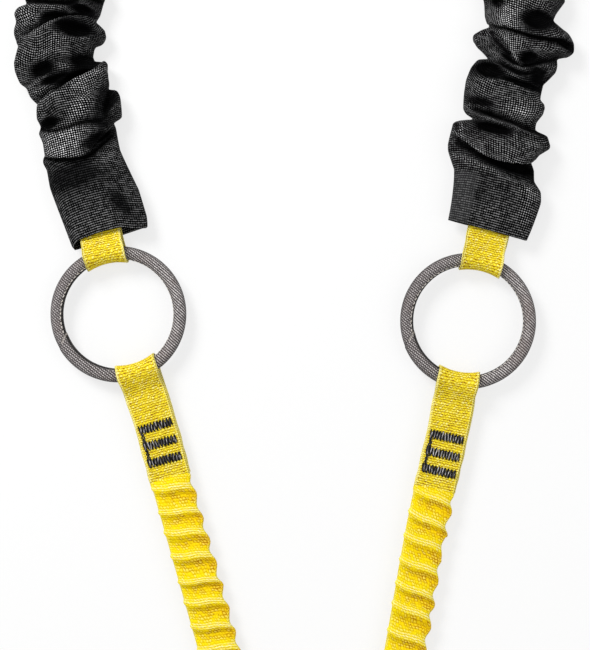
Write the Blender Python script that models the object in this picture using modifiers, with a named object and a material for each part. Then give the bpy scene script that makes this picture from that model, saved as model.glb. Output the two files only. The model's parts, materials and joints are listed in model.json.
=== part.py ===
"""Energy absorbing Y-lanyard with two tie-back rings, lying flat. Metres, +Z up, arms along +Y."""
import bisect
import math

import bpy
import bmesh
from mathutils import Matrix, Vector

# Clearances
GAP = 0.0003            # between pieces that lie on each other
SEAT_GAP = 0.0004       # between a webbing loop and the bar inside it
SHELF = 0.0001          # between the lowest webbing and the surface below it

# Arm webbing
WEB_WIDTH = 0.025
WEB_THICK = 0.0016
LOOP_TAIL = 0.066       # from the bar's axis to the end of the layer that is sewn back
LOOP_THROAT = 0.014     # length over which the two layers close up

# Rings
RING_RADIUS = 0.037     # to the middle of the bar
RING_STEEL = 0.006      # diameter of the steel
COVER_THICK = 0.0008
COVER_GAP = 0.0002
COVER_SEAM = math.radians(14)   # half of the seam's opening, on the inner side
RING_BAR = RING_STEEL / 2 + COVER_GAP + COVER_THICK

# Three-bar tack
TACK_DISTANCE = 0.0445  # from the bar's axis to the middle bar
TACK_WIDTH = 0.0205
TACK_BAR = 0.0054
TACK_PITCH = 0.0105
TACK_SPINE = 0.003
TACK_THICK = 0.0008

# Gathered webbing of the lower arms
GATHER_PITCH = 0.0145
GATHER_HALF_WIDTH = 0.0119
GATHER_HALF_HIGH = 0.0052
GATHER_HALF_LOW = 0.0030
GATHER_NARROWING = 0.0007   # how much narrower each side is between two gathers
CORE_HALF_WIDTH = 0.0090
CORE_HALF_THICK = 0.0009

# Sleeves of the upper arms
SLEEVE_HALF_WIDTH = 0.0255
CUFF_LENGTH = 0.046
CUFF_HALF_HEIGHT = 0.0074
FOLD_PITCH = 0.0200
FOLD_HEIGHT = 0.0030
FOLD_SLANT = 0.28           # turns of a fold from the middle to an edge
FOLD_NARROWING = 0.0022
SLEEVE_END_HALF_WIDTH = 0.0170
SLEEVE_END_HALF_HEIGHT = 0.0045
SLEEVE_DRAW_IN = 0.030      # length over which the upper end is drawn in and the mouth opens
BORE_ROOM = 0.0075          # room beside the webbing along the sleeve
BORE_LIFT = 0.0012
MOUTH_LIFT = 0.0028
SLEEVE_TOP_GAP = 0.061      # from the hook's pin down to the sleeve's upper edge

# Yoke link
LINK_BAR = 0.004        # radius
LINK_SLOPE = math.radians(13)
LINK_LOOP_SPACE = 0.0025    # from the link's middle to each arm's webbing
LINK_CORNER = 0.008
LINK_SHOULDER = 0.0365
LINK_BASE = 0.027
LINK_HEIGHT = 0.038

# Energy absorber
TEAR_WIDTH = 0.030
TEAR_THICK = 0.0020
TEAR_RUNS = 7
TEAR_PITCH = 0.0029
TEAR_TAIL = 0.034
PACK_TOP = -0.095       # folds nearest the yoke, from the yoke's loops
PACK_BOTTOM = -0.212
HARNESS_AXIS = -0.275
POUCH_WALL = 0.0012
POUCH_SIDE = 0.0038     # from the webbing's edge to the middle of the pouch's side wall
ZIP_WIDTH = 0.007
ZIP_THICK = 0.0008
TEETH_WIDTH = 0.003
TEETH_THICK = 0.0014
SLIDER_LENGTH = 0.008
SLIDER_HALF_THICK = 0.0009
SEAM_SHARE = 0.48       # height of the pouch's seam as a share of its depth
TAB_LENGTH = 0.020

# Hooks, shared
HOOK_HALF_THICK = 0.007
HOOK_EDGE = 0.0012
PIN_RADIUS = 0.004
EAR_WIDTH = 0.006
EAR_SIDE_GAP = 0.0008
RIVET_RADIUS = 0.002
RIVET_HEAD = 0.0032
RIVET_HEAD_THICK = 0.0006
LUG_HALF = 0.0026
LUG_RADIUS = 0.008
LUG_REACH = 0.013       # how far the thinned part runs from a rivet
CHEEK = 0.0012
CHEEK_INNER = 0.0049
GATE_HALF = 0.0055
GATE_WEB = 0.0015
SPRING_WIRE = 0.0006
SPRING_TURNS = 1.5
LEVER_TRAVEL = math.radians(8)
LEVER_STAND = 0.001

# Sizes of each kind of hook: inner radius of the crown, bar, seat's flat, and heights above the pin's axis
LARGE_HOOK = {
    "crown": 0.038, "seat": 0.010, "bar": 0.013, "nose_x": 0.036, "floor": 0.030, "top": 0.208,
    "nose_y": 0.133, "gate_x": 0.026, "gate_y": 0.046, "tip_y": 0.150, "lever_y": 0.134, "lever": 0.066,
}
HARNESS_HOOK = {
    "crown": 0.014, "seat": 0.006, "bar": 0.011, "nose_x": 0.018, "floor": 0.022, "top": 0.096,
    "nose_y": 0.067, "gate_x": 0.0115, "gate_y": 0.036, "tip_y": 0.079, "lever_y": 0.070, "lever": 0.034,
}

# Layout: ring centres, hinge directions (clockwise from +Y) and routes through a few points
YOKE = (0.0193, -0.3754)
YOKE_TURN = math.radians(-2.85)
ARMS = {
    "left": {
        "side": -1, "ring": (-0.1063, 0.0066), "lower": math.radians(161.4), "upper": math.radians(-13.0),
        "middle": [(-0.0736, -0.0983), (-0.0467, -0.1935)],
        "sleeve": [(-0.1111, 0.0521), (-0.1150, 0.0640), (-0.1264, 0.0999), (-0.1330, 0.1282),
                   (-0.1403, 0.1475), (-0.1415, 0.1764), (-0.1397, 0.1957), (-0.1340, 0.2350),
                   (-0.1280, 0.2900), (-0.1245, 0.3450)],
        "hook": (-0.1240, 0.4180),
    },
    "right": {
        "side": 1, "ring": (0.1042, 0.0024), "lower": math.radians(190.5), "upper": math.radians(12.5),
        "middle": [(0.0805, -0.1137), (0.0668, -0.1904)],
        "sleeve": [(0.1160, 0.0572), (0.1180, 0.0650), (0.1216, 0.0843), (0.1234, 0.1114),
                   (0.1258, 0.1355), (0.1342, 0.1656), (0.1367, 0.1957), (0.1350, 0.2350),
                   (0.1300, 0.2900), (0.1265, 0.3450)],
        "hook": (0.1260, 0.4180),
    },
}
SHARED_ROUTE = 3        # the webbing joins the sleeve's middle line from its third point on

LOOP_OUT = SEAT_GAP + WEB_THICK
LINK_Z = LINK_BAR + SEAT_GAP + TEAR_THICK + SHELF
HOOK_Z = HOOK_HALF_THICK + SHELF

PARTS = bpy.data.collections.new("y_lanyard")
CUTTERS = bpy.data.collections.new("cutters")


# Scene and objects

def clear_scene():
    """Remove what the file starts with and make the two collections."""
    for thing in list(bpy.data.objects):
        bpy.data.objects.remove(thing)
    for group in (PARTS, CUTTERS):
        bpy.context.scene.collection.children.link(group)


def material(name, colour, roughness, metallic=0.0):
    """One Principled material."""
    made = bpy.data.materials.new(name)
    made.use_nodes = True
    shader = made.node_tree.nodes["Principled BSDF"]
    shader.inputs["Base Color"].default_value = (*colour, 1.0)
    shader.inputs["Roughness"].default_value = roughness
    shader.inputs["Metallic"].default_value = metallic
    made.diffuse_color = (*colour, 1.0)
    return made


def finish_for(name):
    """The material of a piece, by what it is made of."""
    finishes = (
        ("sleeve", ((0.012, 0.012, 0.013), 0.85, 0.0)),
        ("pouch", ((0.012, 0.012, 0.013), 0.85, 0.0)),
        ("tack", ((0.06, 0.055, 0.06), 0.75, 0.0)),
        ("cover", ((0.19, 0.165, 0.17), 0.8, 0.0)),
        ("core", ((0.85, 0.83, 0.75), 0.7, 0.0)),
        ("zip", ((0.02, 0.02, 0.02), 0.5, 0.0)),
        ("lever", ((0.75, 0.76, 0.78), 0.35, 1.0)),
        ("gate", ((0.75, 0.76, 0.78), 0.35, 1.0)),
        ("hook_body", ((0.62, 0.63, 0.65), 0.4, 1.0)),
        ("pin", ((0.55, 0.56, 0.58), 0.3, 1.0)),
        ("link", ((0.55, 0.56, 0.58), 0.3, 1.0)),
        ("steel", ((0.55, 0.56, 0.58), 0.3, 1.0)),
    )
    for word, (colour, roughness, metallic) in finishes:
        if word in name:
            return material(name, colour, roughness, metallic)
    return material(name, (0.87, 0.68, 0.02), 0.7)


def add(name, data, parent, group=None):
    """Put mesh or curve data under its axis empty, in the empty's own frame."""
    thing = bpy.data.objects.new(name, data)
    (group or PARTS).objects.link(thing)
    thing.parent = parent
    if group is None:
        data.materials.append(finish_for(name))
    return thing


def axis(name, place, parent):
    """An empty on a joint's axis: its X is the hinge line, its Y points along the arm."""
    empty = bpy.data.objects.new(name, None)
    empty.empty_display_size = 0.02
    bpy.context.scene.collection.objects.link(empty)
    empty.parent = parent
    empty.matrix_local = place
    return empty


def planar(point, heading, height):
    """A frame at a layout point whose Y looks along heading, clockwise from +Y."""
    return Matrix.Translation((point[0], point[1], height)) @ Matrix.Rotation(-heading, 4, "Z")


def mesh_from(bm, name, smooth=True):
    """Store a bmesh, rounded faces shaded smooth."""
    bmesh.ops.recalc_face_normals(bm, faces=bm.faces)
    mesh = bpy.data.meshes.new(name)
    bm.to_mesh(mesh)
    bm.free()
    if smooth:
        mesh.shade_smooth()
        mesh.set_sharp_from_angle(angle=math.radians(40))
    return mesh


def solidify(thing, thickness):
    """Give an open surface its thickness, half to each side."""
    shell = thing.modifiers.new("thickness", "SOLIDIFY")
    shell.thickness = thickness
    shell.offset = 0
    return thing


def as_mesh(thing):
    """Turn a curve object into a closed mesh object in the same place."""
    bpy.context.view_layer.update()
    seen = thing.evaluated_get(bpy.context.evaluated_depsgraph_get())
    mesh = bpy.data.meshes.new_from_object(seen)
    bm = bmesh.new()
    bm.from_mesh(mesh)
    bmesh.ops.remove_doubles(bm, verts=bm.verts, dist=0.00001)
    bmesh.ops.recalc_face_normals(bm, faces=bm.faces)
    bm.to_mesh(mesh)
    bm.free()
    name = thing.name
    parent = thing.parent
    bpy.data.objects.remove(thing)
    solid = add(name, mesh, parent, group=PARTS)
    if not mesh.materials:
        mesh.materials.append(finish_for(name))
    solid.name = name
    return solid


def cut(target, cutter):
    """Take one solid from another."""
    cutter.hide_render = True
    cutter.display_type = "WIRE"
    taken = target.modifiers.new(cutter.name, "BOOLEAN")
    taken.operation = "DIFFERENCE"
    taken.object = cutter


def box(name, low, high, parent, group=None):
    """A box between two corners."""
    bm = bmesh.new()
    bmesh.ops.create_cube(bm, size=1.0)
    size = [b - a for a, b in zip(low, high)]
    middle = [(a + b) / 2 for a, b in zip(low, high)]
    bmesh.ops.scale(bm, vec=size, verts=bm.verts)
    bmesh.ops.translate(bm, vec=middle, verts=bm.verts)
    return add(name, mesh_from(bm, name, smooth=False), parent, group)


def rod(name, radius, length, place, parent, segments=16, group=None):
    """A cylinder along its own Z, set by a matrix in the parent's frame."""
    bm = bmesh.new()
    bmesh.ops.create_cone(bm, cap_ends=True, segments=segments, radius1=radius, radius2=radius, depth=length)
    bmesh.ops.transform(bm, matrix=place, verts=bm.verts)
    return add(name, mesh_from(bm, name), parent, group)


def tube(name, points, radius, parent, cyclic=False, resolution=2):
    """A round bar or wire along a list of points."""
    curve = bpy.data.curves.new(name, "CURVE")
    curve.dimensions = "3D"
    curve.bevel_depth = radius
    curve.bevel_resolution = resolution
    curve.use_fill_caps = not cyclic
    line = curve.splines.new("POLY")
    line.points.add(len(points) - 1)
    for spot, point in zip(line.points, points):
        spot.co = (*point, 1.0)
    line.use_cyclic_u = cyclic
    return add(name, curve, parent)


def plate(name, outline, half_thick, edge, parent):
    """A flat outline with thickness and chamfered edges."""
    curve = bpy.data.curves.new(name, "CURVE")
    curve.dimensions = "2D"
    curve.fill_mode = "BOTH"
    curve.extrude = half_thick - edge
    curve.bevel_depth = edge
    curve.bevel_resolution = 0
    curve.offset = -edge
    line = curve.splines.new("POLY")
    line.points.add(len(outline) - 1)
    for spot, point in zip(line.points, outline):
        spot.co = (point[0], point[1], 0.0, 1.0)
    line.use_cyclic_u = True
    return as_mesh(add(name, curve, parent))


def rounded(corners, step=math.radians(30), large_step=math.radians(15), large=0.012):
    """An outline through corners given as x, y and fillet radius, with its fillets as arcs."""
    points = []
    count = len(corners)
    for i, (x, y, radius) in enumerate(corners):
        here = Vector((x, y))
        back = Vector(corners[i - 1][:2]) - here
        ahead = Vector(corners[(i + 1) % count][:2]) - here
        back.normalize()
        ahead.normalize()
        turn = math.pi - back.angle(ahead)
        if radius <= 0 or turn < 0.01:
            points.append(here)
            continue
        reach = radius * math.tan(turn / 2)
        middle = here + (back + ahead).normalized() * (radius / math.cos(turn / 2))
        start = here + back * reach - middle
        sense = 1 if back.x * ahead.y - back.y * ahead.x < 0 else -1
        pieces = max(1, math.ceil(turn / (large_step if radius > large else step)))
        for k in range(pieces + 1):
            points.append(middle + Matrix.Rotation(sense * turn * k / pieces, 2) @ start)
    return points


def turned(name, profile, parent, steps=12):
    """A round piece about its own Z, from a profile of radius and height, top to bottom."""
    bm = bmesh.new()
    spots = [bm.verts.new((r, 0.0, z)) for r, z in profile]
    for a, b in zip(spots, spots[1:]):
        bm.edges.new((a, b))
    mesh = bpy.data.meshes.new(name)
    bm.to_mesh(mesh)
    bm.free()
    thing = add(name, mesh, parent)
    spin = thing.modifiers.new("turn", "SCREW")
    spin.steps = steps
    spin.render_steps = steps
    spin.use_merge_vertices = True
    spin.merge_threshold = 0.00001
    return thing


def loft(name, outer, inner, parent):
    """A tube with unlike sections: outer rings forward, inner rings back, joined over both ends."""
    bm = bmesh.new()
    rings = [[bm.verts.new(p) for p in ring] for ring in outer + inner[::-1]]
    for first, second in zip(rings, rings[1:] + rings[:1]):
        for i in range(len(first)):
            j = (i + 1) % len(first)
            bm.faces.new((first[i], first[j], second[j], second[i]))
    return add(name, mesh_from(bm, name), parent)


def sheet(name, rows, columns, place, parent):
    """A grid of rows and columns, each corner put where place(row, share across) says."""
    bm = bmesh.new()
    bmesh.ops.create_grid(bm, x_segments=columns, y_segments=rows, size=0.5)
    for vert in bm.verts:
        row = round((vert.co.y + 0.5) * rows)
        vert.co = place(row, vert.co.x)
    return add(name, mesh_from(bm, name), parent)


# Routes

class Route:
    """A smooth flat line through a few points, read by the length along it."""

    def __init__(self, points, samples=12):
        spots = [Vector(p) for p in points]
        spans = [(b - a).length for a, b in zip(spots, spots[1:])]
        slopes = [(spots[1] - spots[0]) / spans[0]]
        for i in range(1, len(spots) - 1):
            before = (spots[i] - spots[i - 1]) / spans[i - 1]
            after = (spots[i + 1] - spots[i]) / spans[i]
            slopes.append((before * spans[i] + after * spans[i - 1]) / (spans[i] + spans[i - 1]))
        slopes.append((spots[-1] - spots[-2]) / spans[-1])
        self.points = []
        for i, span in enumerate(spans):
            for k in range(samples):
                t = k / samples
                self.points.append(
                    spots[i] * (2 * t**3 - 3 * t**2 + 1) + slopes[i] * span * (t**3 - 2 * t**2 + t)
                    + spots[i + 1] * (3 * t**2 - 2 * t**3) + slopes[i + 1] * span * (t**3 - t**2)
                )
        self.points.append(spots[-1])
        self.lengths = [0.0]
        for a, b in zip(self.points, self.points[1:]):
            self.lengths.append(self.lengths[-1] + (b - a).length)
        self.length = self.lengths[-1]

    def at(self, distance):
        """The point and the direction at a length, straight on past either end."""
        i = min(max(bisect.bisect(self.lengths, distance) - 1, 0), len(self.points) - 2)
        step = self.points[i + 1] - self.points[i]
        along = (distance - self.lengths[i]) / (self.lengths[i + 1] - self.lengths[i])
        before = self.points[i] - self.points[i - 1] if i > 0 else step
        after = self.points[i + 2] - self.points[i + 1] if i + 2 < len(self.points) else step
        share = min(max(along, 0.0), 1.0)
        direction = (before + step).normalized() * (1 - share) + (step + after).normalized() * share
        return self.points[i] + step * along, direction.normalized()


def smooth_step(t):
    """0 to 1 with level ends."""
    t = min(max(t, 0.0), 1.0)
    return t * t * (3 - 2 * t)


class Strap:
    """A route with the height of its middle at each end."""

    def __init__(self, points, start_height, end_height):
        self.route = Route(points)
        self.heights = (start_height, end_height)
        self.length = self.route.length

    def turned_round(self):
        """The same strap read from its other end."""
        other = Strap.__new__(Strap)
        other.route = Route([p[:] for p in self.route.points[::-1]], samples=1)
        other.heights = self.heights[::-1]
        other.length = other.route.length
        return other

    def height(self, distance):
        low, high = self.heights
        return low + (high - low) * smooth_step(distance / self.length)

    def place(self, distance, across, above):
        """A point by its length along, its offset to the right and its height over the middle."""
        point, direction = self.route.at(distance)
        point = point + Vector((direction.y, -direction.x)) * across
        return Vector((point.x, point.y, self.height(distance) + above))


def oval(half_width, half_height, count, squareness=0.6):
    """Offsets across and above of a flat oval section."""
    points = []
    for i in range(count):
        angle = math.tau * i / count
        c, s = math.cos(angle), math.sin(angle)
        points.append((
            math.copysign(abs(c) ** squareness, c) * half_width,
            math.copysign(abs(s) ** squareness, s) * half_height,
        ))
    return points


# Webbing loops and tacks

def loop_hollow(across, bar_radius, ring_radius):
    """Inner radius of a loop, flared so that a curved bar can turn in it."""
    if ring_radius is None:
        return bar_radius + SEAT_GAP
    sag = ring_radius - math.sqrt(ring_radius**2 - across**2)
    return sag + bar_radius / math.sqrt(1 - (across / ring_radius) ** 2) + SEAT_GAP


def loop_stations(tail, throat=LOOP_THROAT, turns=8, closing=4):
    """The rows of a loop: side of the strap and length along it, or the angle round the bar."""
    lengths = [tail] + [throat * k / closing for k in range(closing, 0, -1)]
    over = [("layer", 1, y) for y in lengths]
    round_bar = [("bend", 0, math.pi / 2 + math.pi * k / turns) for k in range(turns + 1)]
    under = [("layer", -1, y) for y in lengths[::-1]]
    return over + round_bar + under


def loop_point(station, across, hollow, thick, throat=LOOP_THROAT):
    """Length along and height above the axis of one point of a loop's middle surface."""
    kind, side, value = station
    radius = hollow + thick / 2
    if kind == "bend":
        return radius * math.cos(value), radius * math.sin(value)
    flat = (thick + GAP) / 2
    closing = 0.5 + 0.5 * math.cos(math.pi * min(value / throat, 1.0))
    return value, side * (flat + (radius - flat) * closing)


def webbing_loop(name, strap, bar_radius, ring_radius, parent, tail=LOOP_TAIL):
    """Webbing led round a bar and sewn back on itself."""
    stations = loop_stations(tail)
    columns = 1 if ring_radius is None else 4
    inverse = parent.matrix_world.inverted()

    def place(row, share):
        across = share * WEB_WIDTH
        hollow = loop_hollow(across, bar_radius, ring_radius)
        along, above = loop_point(stations[row], across, hollow, WEB_THICK)
        return inverse @ strap.place(along, across, above)

    return solidify(sheet(name, len(stations) - 1, columns, place, parent), WEB_THICK)


def tack(name, strap, spine_side, parent):
    """Three thread bars joined by a spine on one side, on the loop's upper layer."""
    half = TACK_WIDTH / 2
    bar = TACK_BAR / 2
    right = half
    left = -half
    neck = left + TACK_SPINE
    outline = [(left, -TACK_PITCH - bar), (right, -TACK_PITCH - bar), (right, -TACK_PITCH + bar),
               (neck, -TACK_PITCH + bar), (neck, -bar), (right, -bar), (right, bar), (neck, bar),
               (neck, TACK_PITCH - bar), (right, TACK_PITCH - bar), (right, TACK_PITCH + bar),
               (left, TACK_PITCH + bar)]
    top = WEB_THICK + 1.5 * GAP + TACK_THICK / 2
    spot, direction = strap.route.at(TACK_DISTANCE)
    heading = math.atan2(direction.x, direction.y)
    outline = [(-spine_side * x, y) for x, y in outline]
    place = planar(spot, heading, strap.height(TACK_DISTANCE) + top)
    solid = plate(name, outline, TACK_THICK / 2, 0.0, parent)
    solid.data.transform(parent.matrix_world.inverted() @ place)
    return solid


# Rings

def ring(prefix, parent, centre):
    """The steel ring and its woven cover, whose seam opens on the inner side."""
    steel_major, steel_minor = 30, 8
    bpy.ops.mesh.primitive_torus_add(
        major_segments=steel_major, minor_segments=steel_minor,
        major_radius=RING_RADIUS, minor_radius=RING_STEEL / 2,
    )
    steel = bpy.context.object
    for group in list(steel.users_collection):
        group.objects.unlink(steel)
    mesh = steel.data
    bpy.data.objects.remove(steel)
    mesh.transform(Matrix.Translation(centre))
    add(f"{prefix}_ring_steel", mesh, parent)

    cover = bpy.data.meshes.new(f"{prefix}_ring_cover")
    bm = bmesh.new()
    middle = RING_BAR - COVER_THICK / 2
    arcs = 8
    spots = []
    for k in range(arcs + 1):
        angle = math.pi - COVER_SEAM - (math.tau - 2 * COVER_SEAM) * k / arcs
        spots.append(bm.verts.new((RING_RADIUS + middle * math.cos(angle), 0.0, middle * math.sin(angle))))
    for a, b in zip(spots, spots[1:]):
        bm.edges.new((a, b))
    bm.to_mesh(cover)
    bm.free()
    skin = add(f"{prefix}_ring_cover", cover, parent)
    skin.location = centre
    spin = skin.modifiers.new("turn", "SCREW")
    spin.steps = steel_major
    spin.render_steps = steel_major
    spin.use_merge_vertices = True
    spin.merge_threshold = 0.00001
    solidify(skin, COVER_THICK)
    return skin


# Lower arm

def lower_arm(prefix, base, end, strap):
    """Loops, tacks, gathered webbing and elastic core between the yoke and the ring."""
    far = strap.turned_round()
    webbing_loop(f"{prefix}_lower_ring_loop", strap, RING_BAR, RING_RADIUS, end)
    tack(f"{prefix}_lower_ring_tack", strap, 1, end)
    webbing_loop(f"{prefix}_yoke_loop", far, LINK_BAR, None, base)
    tack(f"{prefix}_yoke_tack", far, -1, base)

    start = LOOP_TAIL + GAP
    length = strap.length - 2 * start
    waves = round(length / GATHER_PITCH)
    per_wave = 4
    outer = []
    for k in range(waves * per_wave + 1):
        swell = 0.5 - 0.5 * math.cos(math.tau * k / per_wave)
        half_height = GATHER_HALF_LOW + (GATHER_HALF_HIGH - GATHER_HALF_LOW) * swell
        half_width = GATHER_HALF_WIDTH - GATHER_NARROWING * (1 - swell)
        distance = start + length * k / (waves * per_wave)
        outer.append(local_section(strap, distance, oval(half_width, half_height, 8), base))
    bore = oval(CORE_HALF_WIDTH + GAP * 2, CORE_HALF_THICK + GAP * 2, 8, 0.12)
    stops = 6
    inner = [local_section(strap, start + length * k / stops, bore, base) for k in range(stops + 1)]
    loft(f"{prefix}_lower_gathers", outer, inner, base)

    rows = 6

    def place(row, share):
        distance = start + length * row / rows
        return base.matrix_world.inverted() @ strap.place(distance, share * 2 * CORE_HALF_WIDTH, 0.0)

    solidify(sheet(f"{prefix}_lower_elastic_core", rows, 1, place, base), 2 * CORE_HALF_THICK)


def local_section(strap, distance, section, parent):
    """A section's points along a strap, in the parent's frame."""
    inverse = parent.matrix_world.inverted()
    return [inverse @ strap.place(distance, across, above) for across, above in section]


# Upper arm

def fold(distance, across, phase):
    """Height share of the sleeve's slanting folds, 0 in a valley and 1 on a ridge."""
    turn = math.tau * (distance / FOLD_PITCH + FOLD_SLANT * across / SLEEVE_HALF_WIDTH + phase)
    return (0.5 + 0.5 * math.cos(turn)) ** 1.3


def sleeve(prefix, sleeve_strap, side, parent):
    """The gathered sleeve: a smooth cuff at the ring, folds above it, drawn in at the hook."""
    count = 12
    length = sleeve_strap.length
    step = FOLD_PITCH / 4
    cuff_stops = 4
    stations = [CUFF_LENGTH * k / cuff_stops for k in range(cuff_stops)]
    folds = math.floor((length - CUFF_LENGTH) / step)
    stations += [CUFF_LENGTH + (length - CUFF_LENGTH) * k / folds for k in range(folds + 1)]
    outer = []
    for distance in stations:
        share = smooth_step((distance - 0.8 * CUFF_LENGTH) / FOLD_PITCH)
        draw_in = smooth_step((length - distance) / SLEEVE_DRAW_IN)
        ground = sleeve_strap.height(distance) - SHELF
        ring_points = []
        for across, above in oval(1.0, 1.0, count):
            bump = share * fold(distance, side * across * SLEEVE_HALF_WIDTH, 0.0 if above > 0 else 0.37)
            wide = SLEEVE_HALF_WIDTH - FOLD_NARROWING * share * (1 - bump)
            high = CUFF_HALF_HEIGHT + FOLD_HEIGHT * (bump - 0.3 * share)
            half_width = SLEEVE_END_HALF_WIDTH + (wide - SLEEVE_END_HALF_WIDTH) * draw_in
            half_height = SLEEVE_END_HALF_HEIGHT + (high - SLEEVE_END_HALF_HEIGHT) * draw_in
            if above < 0:
                half_height = min(half_height, ground)
            ring_points.append((across * half_width, above * half_height))
        outer.append(local_section(sleeve_strap, distance, ring_points, parent))
    inner = []
    bore_stops = 9
    for k in range(bore_stops + 1):
        distance = length * k / bore_stops
        draw_in = smooth_step((length - distance) / SLEEVE_DRAW_IN)
        mouth = 1 - smooth_step(distance / SLEEVE_DRAW_IN)
        half_width = WEB_WIDTH / 2 + 2 * GAP + BORE_ROOM * draw_in
        half_height = WEB_THICK + 2 * GAP + BORE_LIFT * draw_in + MOUTH_LIFT * mouth
        inner.append(local_section(sleeve_strap, distance, oval(half_width, half_height, count, 0.25), parent))
    loft(f"{prefix}_sleeve", outer, inner, parent)


def upper_arm(prefix, base, end, strap, sleeve_strap, side):
    """Loops, tacks, inner webbing and sleeve between the ring and the hook."""
    far = strap.turned_round()
    webbing_loop(f"{prefix}_upper_ring_loop", strap, RING_BAR, RING_RADIUS, base)
    tack(f"{prefix}_upper_ring_tack", strap, -1, base)
    webbing_loop(f"{prefix}_hook_loop", far, PIN_RADIUS, None, end)
    tack(f"{prefix}_hook_tack", far, 1, end)
    start = LOOP_TAIL + GAP
    length = strap.length - 2 * start
    rows = 16

    def place(row, share):
        distance = start + length * row / rows
        return base.matrix_world.inverted() @ strap.place(distance, share * WEB_WIDTH, 0.0)

    solidify(sheet(f"{prefix}_upper_webbing", rows, 1, place, base), 2 * WEB_THICK)
    sleeve(prefix, sleeve_strap, side, base)


# Hooks

def torsion_spring(name, place, parent):
    """A short coil round a rivet with two straight legs."""
    radius = RIVET_RADIUS + 0.0008 + SPRING_WIRE / 2
    per_turn = 8
    count = round(SPRING_TURNS * per_turn)
    low = LUG_HALF + GAP + SPRING_WIRE / 2
    rise = (CHEEK_INNER - GAP - SPRING_WIRE / 2 - low) / count
    coil = []
    for k in range(count + 1):
        angle = math.tau * k / per_turn
        coil.append(Vector((radius * math.cos(angle), radius * math.sin(angle), low + rise * k)))
    first = coil[0] + Vector((0.0, -0.0016, 0.0))
    last_way = (coil[-1] - coil[-2])
    last_way.z = 0.0
    last = coil[-1] + last_way.normalized() * 0.0016
    return tube(name, [place @ p for p in [first] + coil + [last]], SPRING_WIRE / 2, parent, resolution=1)


def rivet(name, place, parent):
    """A headed rivet along Z."""
    top = HOOK_HALF_THICK
    neck = top - RIVET_HEAD_THICK
    profile = [(0.0, top), (RIVET_HEAD, top), (RIVET_HEAD, neck), (RIVET_RADIUS, neck),
               (RIVET_RADIUS, -neck), (RIVET_HEAD, -neck), (RIVET_HEAD, -top), (0.0, -top)]
    thing = turned(name, profile, parent)
    thing.matrix_local = place
    return thing


def pocket(target, name, low, high, parent):
    """Thin a plate from both faces down to the lug's thickness inside a rectangle."""
    far = HOOK_HALF_THICK + 0.002
    upper = box(f"{name}_upper", (*low, LUG_HALF), (*high, far), parent, CUTTERS)
    lower = box(f"{name}_lower", (*low, -far), (*high, -LUG_HALF), parent, CUTTERS)
    cut(target, upper)
    cut(target, lower)


def span(a, b):
    """Two values in rising order."""
    return (a, b) if a < b else (b, a)


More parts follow.
